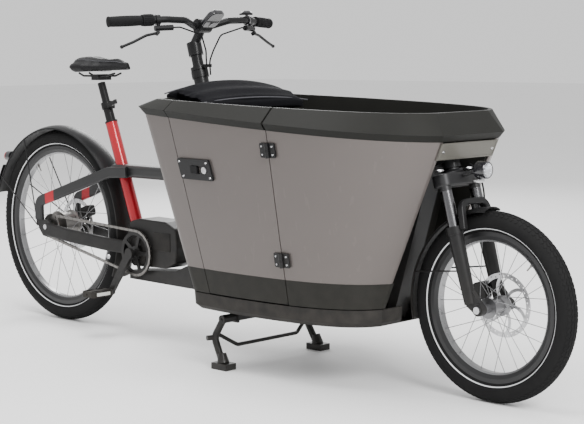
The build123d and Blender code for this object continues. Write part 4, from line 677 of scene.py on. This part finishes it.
class BIKE_OT_tyres(bpy.types.Operator):
    """Makes both tyres, with tread blocks and a reflective stripe on each wall."""

    bl_idname = "bike.tyres"
    bl_label = "Tyres"

    def execute(self, context):
        """Spins each casing and sets the tread blocks round it."""
        self.tyre("rear", pivot("rear_wheel_spin"), "rear_wheel", REAR_BEAD)
        self.tyre("front", pivot("front_wheel_spin"), "front_wheel", FRONT_BEAD)
        return {"FINISHED"}

    def tyre(self, name, axle, body, bead):
        """One tyre from its CAD node's size."""
        sizes = settings().tyres
        low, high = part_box(name + "_tyre")
        outer = (high[2] - low[2]) / 2
        half = (high[1] - low[1]) / 2
        casing = half - sizes.block_height
        round_r = outer - half
        stripe_at = math.acos((bead + 0.0145 - round_r) / casing)
        stripe_half = sizes.stripe / casing / 2
        wall = [math.radians(angle) for angle in (16, 32, 46, 60, 76, 92, 108)]
        side = [0.0, *wall, stripe_at - stripe_half, stripe_at + stripe_half, math.radians(140)]
        arc = [-angle for angle in side[:0:-1]] + side
        profile = [(casing * math.sin(a), round_r + casing * math.cos(a)) for a in arc]
        profile += [(0.0125, bead), (-0.0125, bead)]
        bm = bmesh.new()
        lathe(bm, profile, axle, Y_AXIS, 96, closed=True)
        for face in bm.faces:
            place = face.calc_center_median() - axle
            away = math.atan2(abs(place.y), math.hypot(place.x, place.z) - round_r)
            if abs(away - stripe_at) < stripe_half * 0.9:
                face.material_index = 1
        make(name + "_tyre_casing", bm, body, ("tyre", "stripe"),
             (name + "_tyre",), 50.0)
        bm = bmesh.new()
        count = round(math.tau * outer / sizes.pitch)
        for index in range(count):
            for row, (lean, width, skew) in enumerate(
                    ((0, 0.0085, 0.0), (20, 0.008, 0.32), (-20, 0.008, -0.32), (40, 0.0085, 0.5),
                     (-40, 0.0085, -0.5))):
                turn = math.tau * (index + 0.5 * (row % 2)) / count
                tilt = math.radians(lean)
                reach = round_r + casing * math.cos(tilt)
                out = Vector((math.cos(turn), 0, math.sin(turn)))
                normal = out * math.cos(tilt) + Y_AXIS * math.sin(tilt)
                along = Vector((-math.sin(turn), 0, math.cos(turn)))
                across = normal.cross(along)
                basis = axes(along, across, normal)
                centre = axle + out * reach + Y_AXIS * casing * math.sin(tilt)
                matrix = Matrix.Translation(centre) @ basis @ Matrix.Rotation(skew, 4, "Z")
                block(bm, matrix, (sizes.block_length, width, sizes.block_height * 1.9))
        make(name + "_tyre_tread", bm, body, ("tyre",), (name + "_tyre",), 20.0)


class BIKE_OT_chain(bpy.types.Operator):
    """Makes the drive chain from links and rollers."""

    bl_idname = "bike.chain"
    bl_label = "Drive chain"

    def execute(self, context):
        """Sets the links along the loop round the chainring and the cog."""
        sizes = settings().chain
        ring, cog = pivot("crank_spin"), pivot("rear_wheel_spin")
        low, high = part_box("drive_chain")
        level = (low[1] + high[1]) / 2
        ring.y = cog.y = level
        run = cog - ring
        span = run.length
        lean = math.acos((sizes.ring - sizes.cog) / span)
        ahead = math.atan2(run.z, run.x)
        straight = math.sqrt(span * span - (sizes.ring - sizes.cog) ** 2)
        ring_arc = (math.tau - 2 * lean) * sizes.ring
        cog_arc = 2 * lean * sizes.cog
        total = 2 * straight + ring_arc + cog_arc
        bm = bmesh.new()
        for index in range(sizes.links):
            place, angle = self.along(index * total / sizes.links, ring, cog, ahead, lean, straight,
                                      ring_arc, cog_arc, sizes)
            pitch = total / sizes.links
            basis = Matrix.Translation(place) @ Matrix.Rotation(-angle, 4, "Y")
            wide = 0.0034 if index % 2 else 0.0024
            for side in (-1, 1):
                block(bm, basis @ Matrix.Translation((0, side * wide, 0)),
                      (pitch * 1.35, 0.0009, 0.0082))
            pin = basis @ Matrix.Translation((pitch / 2, 0, 0)) @ Matrix.Rotation(math.pi / 2, 4, "X")
            bmesh.ops.create_cone(bm, cap_ends=True, segments=8, radius1=0.0026, radius2=0.0026,
                                  depth=0.0078, matrix=pin)
        make("chain_links", bm, "frame", ("dark_steel",), ("drive_chain",), 30.0)
        return {"FINISHED"}

    def along(self, way, ring, cog, ahead, lean, straight, ring_arc, cog_arc, sizes):
        """The place and the slope of a point along the loop."""
        first = ahead + lean
        if way < ring_arc:
            turn = first + way / sizes.ring
            return self.on(ring, sizes.ring, turn), turn + math.pi / 2
        way -= ring_arc
        leave = self.on(ring, sizes.ring, ahead - lean)
        reach = self.on(cog, sizes.cog, ahead - lean)
        if way < straight:
            slope = (reach - leave).normalized()
            return leave + slope * way, math.atan2(slope.z, slope.x)
        way -= straight
        if way < cog_arc:
            turn = ahead - lean + way / sizes.cog
            return self.on(cog, sizes.cog, turn), turn + math.pi / 2
        way -= cog_arc
        leave = self.on(cog, sizes.cog, first)
        reach = self.on(ring, sizes.ring, first)
        slope = (reach - leave).normalized()
        return leave + slope * way, math.atan2(slope.z, slope.x)

    def on(self, centre, radius, turn):
        """A point on a circle."""
        return centre + Vector((math.cos(turn), 0, math.sin(turn))) * radius


class BIKE_OT_screws(bpy.types.Operator):
    """Makes the screws of the hinges, the latch plate and the front plate."""

    bl_idname = "bike.screws"
    bl_label = "Screws and lock"

    def execute(self, context):
        """Puts each screw on its leaf or plate."""
        run = Vector(JOINTS["door_swing"]["axis"])
        out = X_AXIS.cross(run)
        top = pivot("door_swing")
        door, box = bmesh.new(), bmesh.new()
        for at in (top, top - run * HINGE_DROP):
            for step in (-0.012, 0.012):
                screw(door, at + run * step - X_AXIS * 0.019 - out * DOOR_LEAF_DEPTH, out)
                screw(box, at + run * step + X_AXIS * 0.019 - out * BOX_LEAF_DEPTH, out)
        ahead = Vector(JOINTS["latch_slide"]["axis"])
        face = LATCH_FACE
        rise = face.cross(ahead).normalized()
        plate = LATCH_PLATE + face * LATCH_THICK
        for along, up in ((-0.068, 0.022), (0.056, 0.022), (-0.056, -0.022), (0.068, -0.022)):
            screw(door, plate + ahead * along + rise * up, face, 0.0036)
        make("door_screws", door, "door", ("bright",))
        lock = bmesh.new()
        at = plate + ahead * 0.044
        lathe(lock, [(0, 0), (0, 0.0105), (0.0022, 0.0105), (0.003, 0.0095), (0.003, 0.0075),
                     (0.0015, 0.007), (0.0015, 0)], at, face, 28)
        block(lock, facing(at + face * 0.0022, face), (0.0016, 0.009, 0.0016))
        make("door_lock", lock, "door", ("steel",))
        low, high = corners("front_plate")
        slope = (high.x - low.x - 0.004) / (high.z - low.z)
        face = Vector((1, 0, -slope)).normalized()
        centre = Vector(((low.x + high.x + 0.004) / 2, 0, (low.z + high.z) / 2))
        for side in (-1, 1):
            screw(box, centre + Y_AXIS * side * 0.108, face, 0.0046, 0.0026)
        make("box_screws", box, "frame", ("bright",))
        self.raised_edge(centre, face, low, high)
        return {"FINISHED"}

    def raised_edge(self, centre, face, low, high):
        """The front plate's thin raised border."""
        bm = bmesh.new()
        height = (high.z - low.z) / abs(face.x) - 0.004
        width = high.y - low.y - 0.004
        basis = axes(Y_AXIS, face.cross(Y_AXIS), face)
        block(bm, Matrix.Translation(centre) @ basis, (width, height, 0.0022), 0.0006)
        faces = [f for f in bm.faces if f.normal.dot(face) > 0.99]
        bmesh.ops.inset_region(bm, faces=faces, thickness=0.004, depth=0.0)
        bmesh.ops.inset_region(bm, faces=faces, thickness=0.0008, depth=-0.0012)
        make("front_plate_border", bm, "frame", ("plate",), (), 30.0)


class BIKE_OT_lights(bpy.types.Operator):
    """Makes the headlight's lens, bowl and bracket, and the tail light's lens."""

    bl_idname = "bike.lights"
    bl_label = "Lights"

    def execute(self, context):
        """Spins the lamps' pieces in front of their housings."""
        low, high = corners("headlight")
        face = Vector((high.x - 0.0005, 0, (low.z + high.z) / 2))
        bm = bmesh.new()
        lathe(bm, [(0.0, 0.0235), (0.004, 0.0235), (0.0055, 0.022), (0.0035, 0.0205),
                   (0.0, 0.0195)], face, X_AXIS, 40, closed=True)
        make("headlight_ring", bm, "lamp", ("gloss",))
        bm = bmesh.new()
        lathe(bm, [(0.0006, 0.0), (0.0008, 0.006), (0.0011, 0.012), (0.0016, 0.0195)], face, X_AXIS,
              40)
        for row in (-1, 0, 1):
            block(bm, Matrix.Translation(face + Vector((0.0014, 0, row * 0.009))),
                  (0.0022, 0.024, 0.0022), 0.0005)
        make("headlight_bowl", bm, "lamp", ("mirror",))
        bm = bmesh.new()
        lathe(bm, [(0.0030, 0.0205), (0.0048, 0.0202), (0.0068, 0.015), (0.0078, 0.008),
                   (0.0080, 0.0)], face, X_AXIS, 40)
        make("headlight_lens", bm, "lamp", ("lens",))
        bm = bmesh.new()
        foot = Vector((low.x + 0.014, 0, low.z - 0.006))
        block(bm, Matrix.Translation(foot), (0.022, 0.030, 0.010), 0.002)
        for side in (-1, 1):
            screw(bm, foot + Vector((0, side * 0.015, 0)), Y_AXIS * side, 0.0042, 0.003)
        make("headlight_bracket", bm, "lamp", ("bright",))
        low, high = corners("tail_light")
        centre = Vector((low.x + 0.0005, 0, high.z - 0.019))
        bm = bmesh.new()
        lathe(bm, [(0.0, 0.0), (0.0, 0.0145), (0.0015, 0.0158), (-0.0015, 0.017)], centre, X_AXIS,
              36)
        lathe(bm, [(-0.0015, 0.0), (-0.0012, 0.006), (0.0, 0.0145)], centre, X_AXIS, 36)
        make("tail_light_lens", bm, "frame", ("red_lens",))
        return {"FINISHED"}


class BIKE_OT_controls(bpy.types.Operator):
    """Makes the ribbed grips, the display's glass and the pedals' reflectors."""

    bl_idname = "bike.controls"
    bl_label = "Controls and pedals"

    def execute(self, context):
        """Makes the small pieces that hands and feet touch."""
        twist = Vector(JOINTS["shifter_twist"]["axis"])
        centre = pivot("shifter_twist")
        for name, side in (("right", 1), ("left", -1)):
            run = Vector((twist.x, twist.y * side, twist.z))
            start = Vector((centre.x, centre.y * side, centre.z)) - run * GRIP_START
            self.grip(name, start, run)
        ribs = bmesh.new()
        for step in range(18):
            turn = math.tau * step / 18
            side = twist.orthogonal().normalized()
            out = Matrix.Rotation(turn, 3, twist) @ side
            basis = axes(twist, twist.cross(out), out)
            block(ribs, Matrix.Translation(centre + out * 0.0182) @ basis, (0.026, 0.0024, 0.0014),
                  0.0004)
        make("shifter_ribs", ribs, "shifter", ("grip",))
        self.display()
        for name in ("right", "left"):
            self.pedal(name)
        return {"FINISHED"}

    def grip(self, name, start, run):
        """One grip with ribs, a thumb pad's swell and a closed end."""
        profile = [(-0.0062, 0.0), (-0.006, 0.010), (-0.0048, 0.0158), (-0.002, 0.0172)]
        step, way = 0.0018, 0.0005
        while way < GRIP_LENGTH:
            swell = 0.0155 + 0.0011 * math.sin(math.pi * way / GRIP_LENGTH)
            profile.append((way, swell + 0.0004))
            profile.append((way + step * 0.55, swell + 0.0004))
            profile.append((way + step * 0.62, swell - 0.0002))
            profile.append((way + step * 0.93, swell - 0.0002))
            way += step * 2
        profile += [(0.1045, 0.0172), (0.1058, 0.0165), (0.1058, 0.0113)]
        bm = bmesh.new()
        lathe(bm, profile, start, run, 36)
        make("grip_" + name, bm, "column", ("grip",), ("grips",), 40.0)

    def display(self):
        """The display's glass and its two buttons."""
        face = Vector((-0.62, 0, 0.78)).normalized()
        centre = Vector((DISPLAY_STATION - MIDDLE_STATION, 0, DISPLAY_HEIGHT))
        up = Vector((0.78, 0, 0.62)).normalized()
        basis = axes(Y_AXIS, up, face)
        bm = bmesh.new()
        block(bm, Matrix.Translation(centre + up * 0.004 + face * 0.0002) @ basis,
              (0.046, 0.050, 0.0014), 0.0006)
        make("display_screen", bm, "column", ("glass",))
        bm = bmesh.new()
        for side in (-1, 1):
            block(bm, Matrix.Translation(centre + Y_AXIS * side * 0.011 - up * 0.030) @ basis,
                  (0.012, 0.006, 0.003), 0.001)
        make("display_buttons", bm, "column", ("grip",))

    def pedal(self, name):
        """The reflectors and grip pins of one pedal."""
        low, high = corners("pedal_" + name)
        centre = (low + high) / 2
        size = high - low
        bm = bmesh.new()
        for side in (-1, 1):
            block(bm, Matrix.Translation(centre + Vector((side * size.x / 2, 0, 0))),
                  (0.004, size.y * 0.62, 0.011), 0.0008)
        make("pedal_reflectors_" + name, bm, "pedal_" + name[0], ("white",))
        bm = bmesh.new()
        for side in (-1, 1):
            for row in range(9):
                for face in (-1, 1):
                    place = centre + Vector((side * size.x * 0.36, size.y * (row / 8 - 0.5) * 0.78,
                                             face * (size.z / 2)))
                    block(bm, Matrix.Translation(place), (0.006, 0.0035, 0.0022))
        make("pedal_grip_" + name, bm, "pedal_" + name[0], ("grip",))


class BIKE_OT_motor_trim(bpy.types.Operator):
    """Makes the motor's side covers and the crank's bolts."""

    bl_idname = "bike.motor_trim"
    bl_label = "Motor covers"

    def execute(self, context):
        """Spins a stepped cover on each side of the motor."""
        low, high = corners("motor_unit")
        spindle = pivot("crank_spin")
        bm = bmesh.new()
        for side, level in ((-1, low.y), (1, high.y)):
            start = Vector((spindle.x + 0.006, level, spindle.z + 0.012))
            lathe(bm, [(-0.001, 0.022), (0.0032, 0.022), (0.0042, 0.024), (0.0042, 0.043),
                       (0.003, 0.0445), (0.003, 0.050), (0.0018, 0.052), (-0.001, 0.052)], start,
                  Y_AXIS * side, 48)
            for step in range(6):
                turn = math.tau * step / 6 + 0.3
                place = start + Vector((math.cos(turn), 0, math.sin(turn))) * 0.0475
                screw(bm, place + Y_AXIS * side * 0.003, Y_AXIS * side, 0.0026, 0.0018)
            back = Vector((high.x - 0.075, level, (low.z + high.z) / 2 + 0.012))
            block(bm, Matrix.Translation(back), (0.085, 0.004, 0.062), 0.0018)
        make("motor_covers", bm, "frame", ("plastic",))
        bolts = bmesh.new()
        low, high = corners("crankset")
        for side, level in ((-1, low.y), (1, high.y)):
            place = Vector((spindle.x, level, spindle.z))
            screw(bolts, place - Y_AXIS * side * 0.012, Y_AXIS * side, 0.008, 0.003)
        make("crank_bolts", bolts, "crank", ("steel",))
        return {"FINISHED"}


class BIKE_OT_saddle(bpy.types.Operator):
    """Makes the saddle: a crowned pad with turned-down sides and sewn seams."""

    bl_idname = "bike.saddle"
    bl_label = "Saddle"

    def execute(self, context):
        """Shapes a divided block into the saddle."""
        low, high = corners("saddle")
        bm = divided(15)
        for vert in bm.verts:
            vert.co = self.shape(vert.co.copy(), low, high)
        saddle = make("saddle_pad", bm, "seat", ("hide",), ("saddle",),
                      180.0)
        filled(saddle, 0.004, settings().padding.pressure, 0.0025)
        rounded(saddle, 1)
        self.seams(low, high)
        return {"FINISHED"}

    def shape(self, unit, low, high):
        """Where a point of the unit block goes."""
        size = high - low
        share = (unit.x + 1) / 2
        stations = ((0.0, 0.34), (0.07, 0.72), (0.2, 0.97), (0.34, 0.93), (0.48, 0.66), (0.6, 0.42),
                    (0.78, 0.275), (0.93, 0.225), (1.0, 0.13))
        width = along(stations, share) * size.y / 2
        dip = along(((0.0, 0.72), (0.12, 0.95), (0.3, 1.0), (0.55, 0.86), (0.8, 0.84), (1.0, 0.66)),
                    share)
        under = along(((0.0, 0.42), (0.2, 0.10), (0.4, 0.16), (0.6, 0.25), (1.0, 0.30)), share)
        round_in = 1 - 0.25 * max(0.0, abs(unit.z)) ** 3
        across = unit.y * (1 - 0.10 * unit.y * unit.y)
        y = across / 0.9 * width * round_in
        crown = 1 - 0.30 * unit.y * unit.y - 0.10 * abs(unit.y) ** 6
        top = low.z + size.z * dip * crown * 0.985
        bottom = low.z + size.z * under * (0.5 + 0.5 * (1 - abs(unit.y)))
        z = bottom + (top - bottom) * (unit.z + 1) / 2
        groove = 0.0035 * math.exp(-(unit.y * width / 0.010) ** 2) if 0.1 < share < 0.75 else 0.0
        if unit.z > 0.9:
            z -= groove
        x = low.x + size.x * (0.008 + 0.984 * share)
        return Vector((x, y, z))

    def seams(self, low, high):
        """A raised seam along each upper side."""
        size = high - low
        for name, side in (("right", -1), ("left", 1)):
            points = []
            for step in range(2, 15):
                share = step / 15
                place = self.shape(Vector((share * 2 - 1, side * 0.80, 1.0)), low, high)
                points.append(place + Vector((0, 0, 0.0022)))
            tube("saddle_seam_" + name, points, 0.0011, "seat", "stitch")


def along(stops, share):
    """A value read along (share, value) stops, eased between them."""
    for (first, low), (second, high) in zip(stops, stops[1:]):
        if share <= second:
            part = (share - first) / (second - first)
            part = part * part * (3 - 2 * part)
            return low + (high - low) * part
    return stops[-1][1]


class BIKE_OT_bench(bpy.types.Operator):
    """Makes the bench board and its cushion."""

    bl_idname = "bike.bench"
    bl_label = "Bench"

    def execute(self, context):
        """Makes the board from two slabs and fills the cushion on it."""
        low, high = corners("bench_and_cushion")
        board_top = high.z - 0.0383
        bm = bmesh.new()
        slab = Matrix.Translation(((low.x + high.x) / 2, 0, board_top - 0.005))
        block(bm, slab, (high.x - low.x - 0.002, high.y - low.y - 0.002, 0.010), 0.002)
        drop = (board_top - 0.011 + low.z) / 2
        front = Matrix.Translation((high.x - 0.005, 0, drop))
        block(bm, front, (0.010, high.y - low.y - 0.002, board_top - 0.011 - low.z), 0.002)
        make("bench_board", bm, "frame", ("plastic",),
             ("bench_and_cushion",))
        bm = bmesh.new()
        size = Vector((high.x - low.x - 0.040, high.y - low.y - 0.034, 0.026))
        centre = Vector(((low.x + high.x) / 2 + 0.006, 0, board_top + 0.020))
        block(bm, Matrix.Translation(centre), size, 0.008)
        bmesh.ops.subdivide_edges(bm, edges=bm.edges[:], cuts=2, use_grid_fill=True)
        cushion = make("bench_cushion_pad", bm, "frame", ("cushion",),
                       ("bench_and_cushion",), 180.0)
        padding = settings().padding
        filled(cushion, padding.voxel, padding.pressure, 0.008)
        floor = board_top + 0.0005
        for vert in cushion.data.vertices:
            vert.co.z = max(vert.co.z, floor)
            for seam in (-0.078, 0.078):
                if vert.co.z > centre.z:
                    vert.co.z -= dent(abs(vert.co.y - seam), 0.02, 0.005)
        rounded(cushion, 1)
        return {"FINISHED"}


class BIKE_OT_rear_cover(bpy.types.Operator):
    """Makes the padded cover over the box's rear edge, with its back pad and piping."""

    bl_idname = "bike.rear_cover"
    bl_label = "Rear cover"

    def execute(self, context):
        """Builds the hood and the back pad, fills them, and sews the seams."""
        low, high = corners("padded_rear_cover")
        self.hood(low, high)
        self.back(low)
        return {"FINISHED"}

    def top_at(self, share, across):
        """The hood's upper surface: share runs forward, across from -1 to 1."""
        rise = along(((0.0, 0.856), (0.10, 0.898), (0.30, 0.915), (0.62, 0.880), (0.88, 0.842),
                      (1.0, 0.815)), share)
        crown = 1 - abs(across) ** 2.2
        side = along(((0.0, 0.828), (0.3, 0.834), (0.7, 0.824), (1.0, 0.800)), share)
        rise = 0.62 * (rise - 0.80) + 0.80
        return side + (max(rise, side) - side) * crown

    def hood(self, low, high):
        """The crowned upper part, closed by a thin underside."""
        bm = divided(19)
        for vert in bm.verts:
            share = (vert.co.x + 1) / 2
            across = vert.co.y
            pull = 1 - 0.05 * (1 - share)
            half = (high.y - 0.006) * pull
            x = low.x + 0.003 + (high.x - low.x - 0.008) * share
            top = self.top_at(share, across) - 0.004
            thick = along(((0.0, 0.016), (0.12, 0.020), (0.3, 0.034), (0.8, 0.034), (1.0, 0.020)),
                          share)
            corner = 0.010 * max(0.0, abs(across) - 0.9) * 10
            z = top - thick * (1 - (vert.co.z + 1) / 2) - corner * (vert.co.z > 0)
            inset = 0.055 if share > 0.22 else 0.03
            edge = half - (inset if z < 0.822 else 0.0) * max(0.0, abs(across) - 0.86) / 0.14
            vert.co = Vector((x, across * edge, z))
        cover = make("rear_cover_hood", bm, "frame", ("fabric",),
                     ("padded_rear_cover",), 180.0)
        padding = settings().padding
        filled(cover, padding.voxel, padding.pressure, 0.007)
        rounded(cover, 1)
        for name, share in (("front", 0.93), ("rear", 0.14)):
            points = []
            for step in range(21):
                across = -0.94 + 1.88 * step / 20
                x = low.x + 0.003 + (high.x - low.x - 0.008) * share
                z = self.top_at(share, across)
                points.append(Vector((x, across * (high.y - 0.012), z + 0.0005)))
            tube("rear_cover_piping_" + name, points, settings().padding.piping, "frame",
                 "stitch")

    def wall(self, z):
        """Where the tub's rear wall stands at a height."""
        station, level, slope = COVER_WALL
        return station + (level - z) * slope + PAD_GAP - MIDDLE_STATION

    def back(self, low):
        """The back pad against the tub's rear wall."""
        bm = divided(15)
        foot, head = low.z + 0.012, 0.790
        for vert in bm.verts:
            share = (vert.co.z + 1) / 2
            z = foot + (head - foot) * share
            thick = 0.016 + 0.014 * (1 - vert.co.y ** 4)
            x = self.wall(z) + thick * (vert.co.x + 1) / 2 + 0.004
            vert.co = Vector((x, vert.co.y * 0.228, z))
        pad = make("rear_cover_back_pad", bm, "frame", ("fabric",),
                   ("padded_rear_cover",), 180.0)
        padding = settings().padding
        filled(pad, padding.voxel, padding.pressure, 0.005)
        for vert in pad.data.vertices:
            for seam in (0.615, 0.70):
                if vert.co.x > self.wall(vert.co.z) + 0.015:
                    vert.co.x -= dent(abs(vert.co.z - seam), 0.02, 0.006)
        rounded(pad, 1)


class BIKE_OT_frame_trim(bpy.types.Operator):
    """Makes the valves, the fork's hose and the fork's top caps."""

    bl_idname = "bike.frame_trim"
    bl_label = "Frame trim"

    def execute(self, context):
        """Adds the small pieces on the wheels and the fork."""
        for name, axle, inner, turn in (("rear", pivot("rear_wheel_spin"), 0.2625, 2.2),
                                        ("front", pivot("front_wheel_spin"), 0.186, 0.8)):
            out = Vector((math.cos(turn), 0, math.sin(turn)))
            bm = bmesh.new()
            lathe(bm, [(0, 0), (0, 0.0022), (0.016, 0.0022), (0.0165, 0.0036), (0.033, 0.0036),
                       (0.034, 0.0028), (0.034, 0)], axle + out * (inner - 0.031), out, 14)
            make("valve_" + name, bm, name + "_wheel", ("dark_steel",))
        crown = pivot("fork_steering")
        points = [crown + Vector(step) for step in
                  ((0.03, 0.028, 0.045), (0.055, 0.034, 0.03), (0.068, 0.045, -0.03),
                   (0.058, 0.056, -0.075), (0.035, 0.062, -0.085))]
        tube("fork_brake_hose", points, 0.0025, "fork", "grip")
        bm = bmesh.new()
        for side in (-1, 1):
            lathe(bm, [(0, 0), (0, 0.013), (0.004, 0.013), (0.006, 0.011), (0.006, 0)],
                  crown + Vector((-0.002, side * FORK_LEG_Y, 0.026)),
                  Vector(JOINTS["fork_steering"]["axis"]), 24)
        make("fork_top_caps", bm, "fork", ("steel",))
        return {"FINISHED"}


class BIKE_OT_stage(bpy.types.Operator):
    """Makes the floor, the soft studio lights and the camera."""

    bl_idname = "bike.stage"
    bl_label = "Stage"

    def execute(self, context):
        """Sets the scene around the object."""
        scene = context.scene
        bm = bmesh.new()
        bmesh.ops.create_grid(bm, x_segments=1, y_segments=1, size=30.0)
        mesh = bpy.data.meshes.new("studio_floor")
        bm.to_mesh(mesh)
        bm.free()
        floor = bpy.data.objects.new("studio_floor", mesh)
        scene.collection.objects.link(floor)
        s = Shader("pale_floor")
        tone = s.blend(s.noise(0.8, 3.0), (0.87, 0.87, 0.87, 1), (0.90, 0.90, 0.90, 1))
        mesh.materials.append(s.finish(base_color=tone, roughness=0.85))
        world = bpy.data.worlds.new("studio_air")
        world.use_nodes = True
        world.node_tree.nodes["Background"].inputs[0].default_value = (1.0, 1.0, 1.0, 1.0)
        world.node_tree.nodes["Background"].inputs[1].default_value = 1.0
        scene.world = world
        for name, place, aim, size, power in (
                ("key_light", (4.6, -1.4, 3.2), (0.4, 0, 0.4), 2.2, 260.0),
                ("top_light", (-0.4, -0.8, 4.6), (0, 0, 0.4), 3.4, 220.0),
                ("rear_light", (-3.4, 3.4, 2.8), (0, 0, 0.6), 2.2, 120.0)):
            data = bpy.data.lights.new(name, "AREA")
            data.shape = "DISK"
            data.size = size
            data.energy = power
            light = bpy.data.objects.new(name, data)
            light.matrix_world = facing(place, Vector(place) - Vector(aim))
            scene.collection.objects.link(light)
        self.camera(scene)
        return {"FINISHED"}

    def camera(self, scene):
        """A long lens at the object's front right, a little above it."""
        yaw, rise, roll = CAMERA_TURN
        right = Vector((math.cos(yaw), math.sin(yaw), 0))
        back = Vector((math.sin(yaw) * math.cos(rise), -math.cos(yaw) * math.cos(rise),
                       math.sin(rise)))
        up = back.cross(right)
        across = right * math.cos(roll) + up * math.sin(roll)
        over = up * math.cos(roll) - right * math.sin(roll)
        data = bpy.data.cameras.new("studio_camera")
        data.sensor_width = 36.0
        data.lens = CAMERA_LENS
        data.shift_x, data.shift_y = CAMERA_SHIFT
        camera = bpy.data.objects.new("studio_camera", data)
        camera.matrix_world = Matrix.LocRotScale(
            CAMERA_PLACE,
            Matrix((across, over, back)).transposed(), None)
        scene.collection.objects.link(camera)
        scene.camera = camera


class BIKE_PT_parts(bpy.types.Panel):
    """Lists the bicycle's operators and properties."""

    bl_label = "Cargo bicycle"
    bl_idname = "BIKE_PT_parts"
    bl_space_type = "VIEW_3D"
    bl_region_type = "UI"
    bl_category = "Cargo bicycle"

    def draw(self, context):
        """Draws the buttons in the order of the work."""
        for operator in OPERATORS:
            self.layout.operator(operator.bl_idname)
        groups = context.scene.cargo_bicycle
        for group in (groups.colours, groups.tyres, groups.padding, groups.chain):
            for name in group.__annotations__:
                self.layout.prop(group, name)


GROUPS = (FinishColours, TyreSizes, PaddingSizes, ChainSizes, CargoBicycle)
OPERATORS = (BIKE_OT_finishes, BIKE_OT_tyres, BIKE_OT_chain, BIKE_OT_screws, BIKE_OT_lights,
             BIKE_OT_controls, BIKE_OT_motor_trim, BIKE_OT_saddle, BIKE_OT_bench,
             BIKE_OT_rear_cover, BIKE_OT_frame_trim, BIKE_OT_stage)


def register():
    """Registers the classes and the scene's properties."""
    for kind in (*GROUPS, *OPERATORS, BIKE_PT_parts):
        bpy.utils.register_class(kind)
    bpy.types.Scene.cargo_bicycle = PointerProperty(type=CargoBicycle)


def unregister():
    """Removes them again."""
    del bpy.types.Scene.cargo_bicycle
    for kind in reversed((*GROUPS, *OPERATORS, BIKE_PT_parts)):
        bpy.utils.unregister_class(kind)


def main():
    """Builds everything in order."""
    register()
    for operator in OPERATORS:
        group, name = operator.bl_idname.split(".")
        getattr(getattr(bpy.ops, group), name)()


if __name__ == "__main__":
    main()
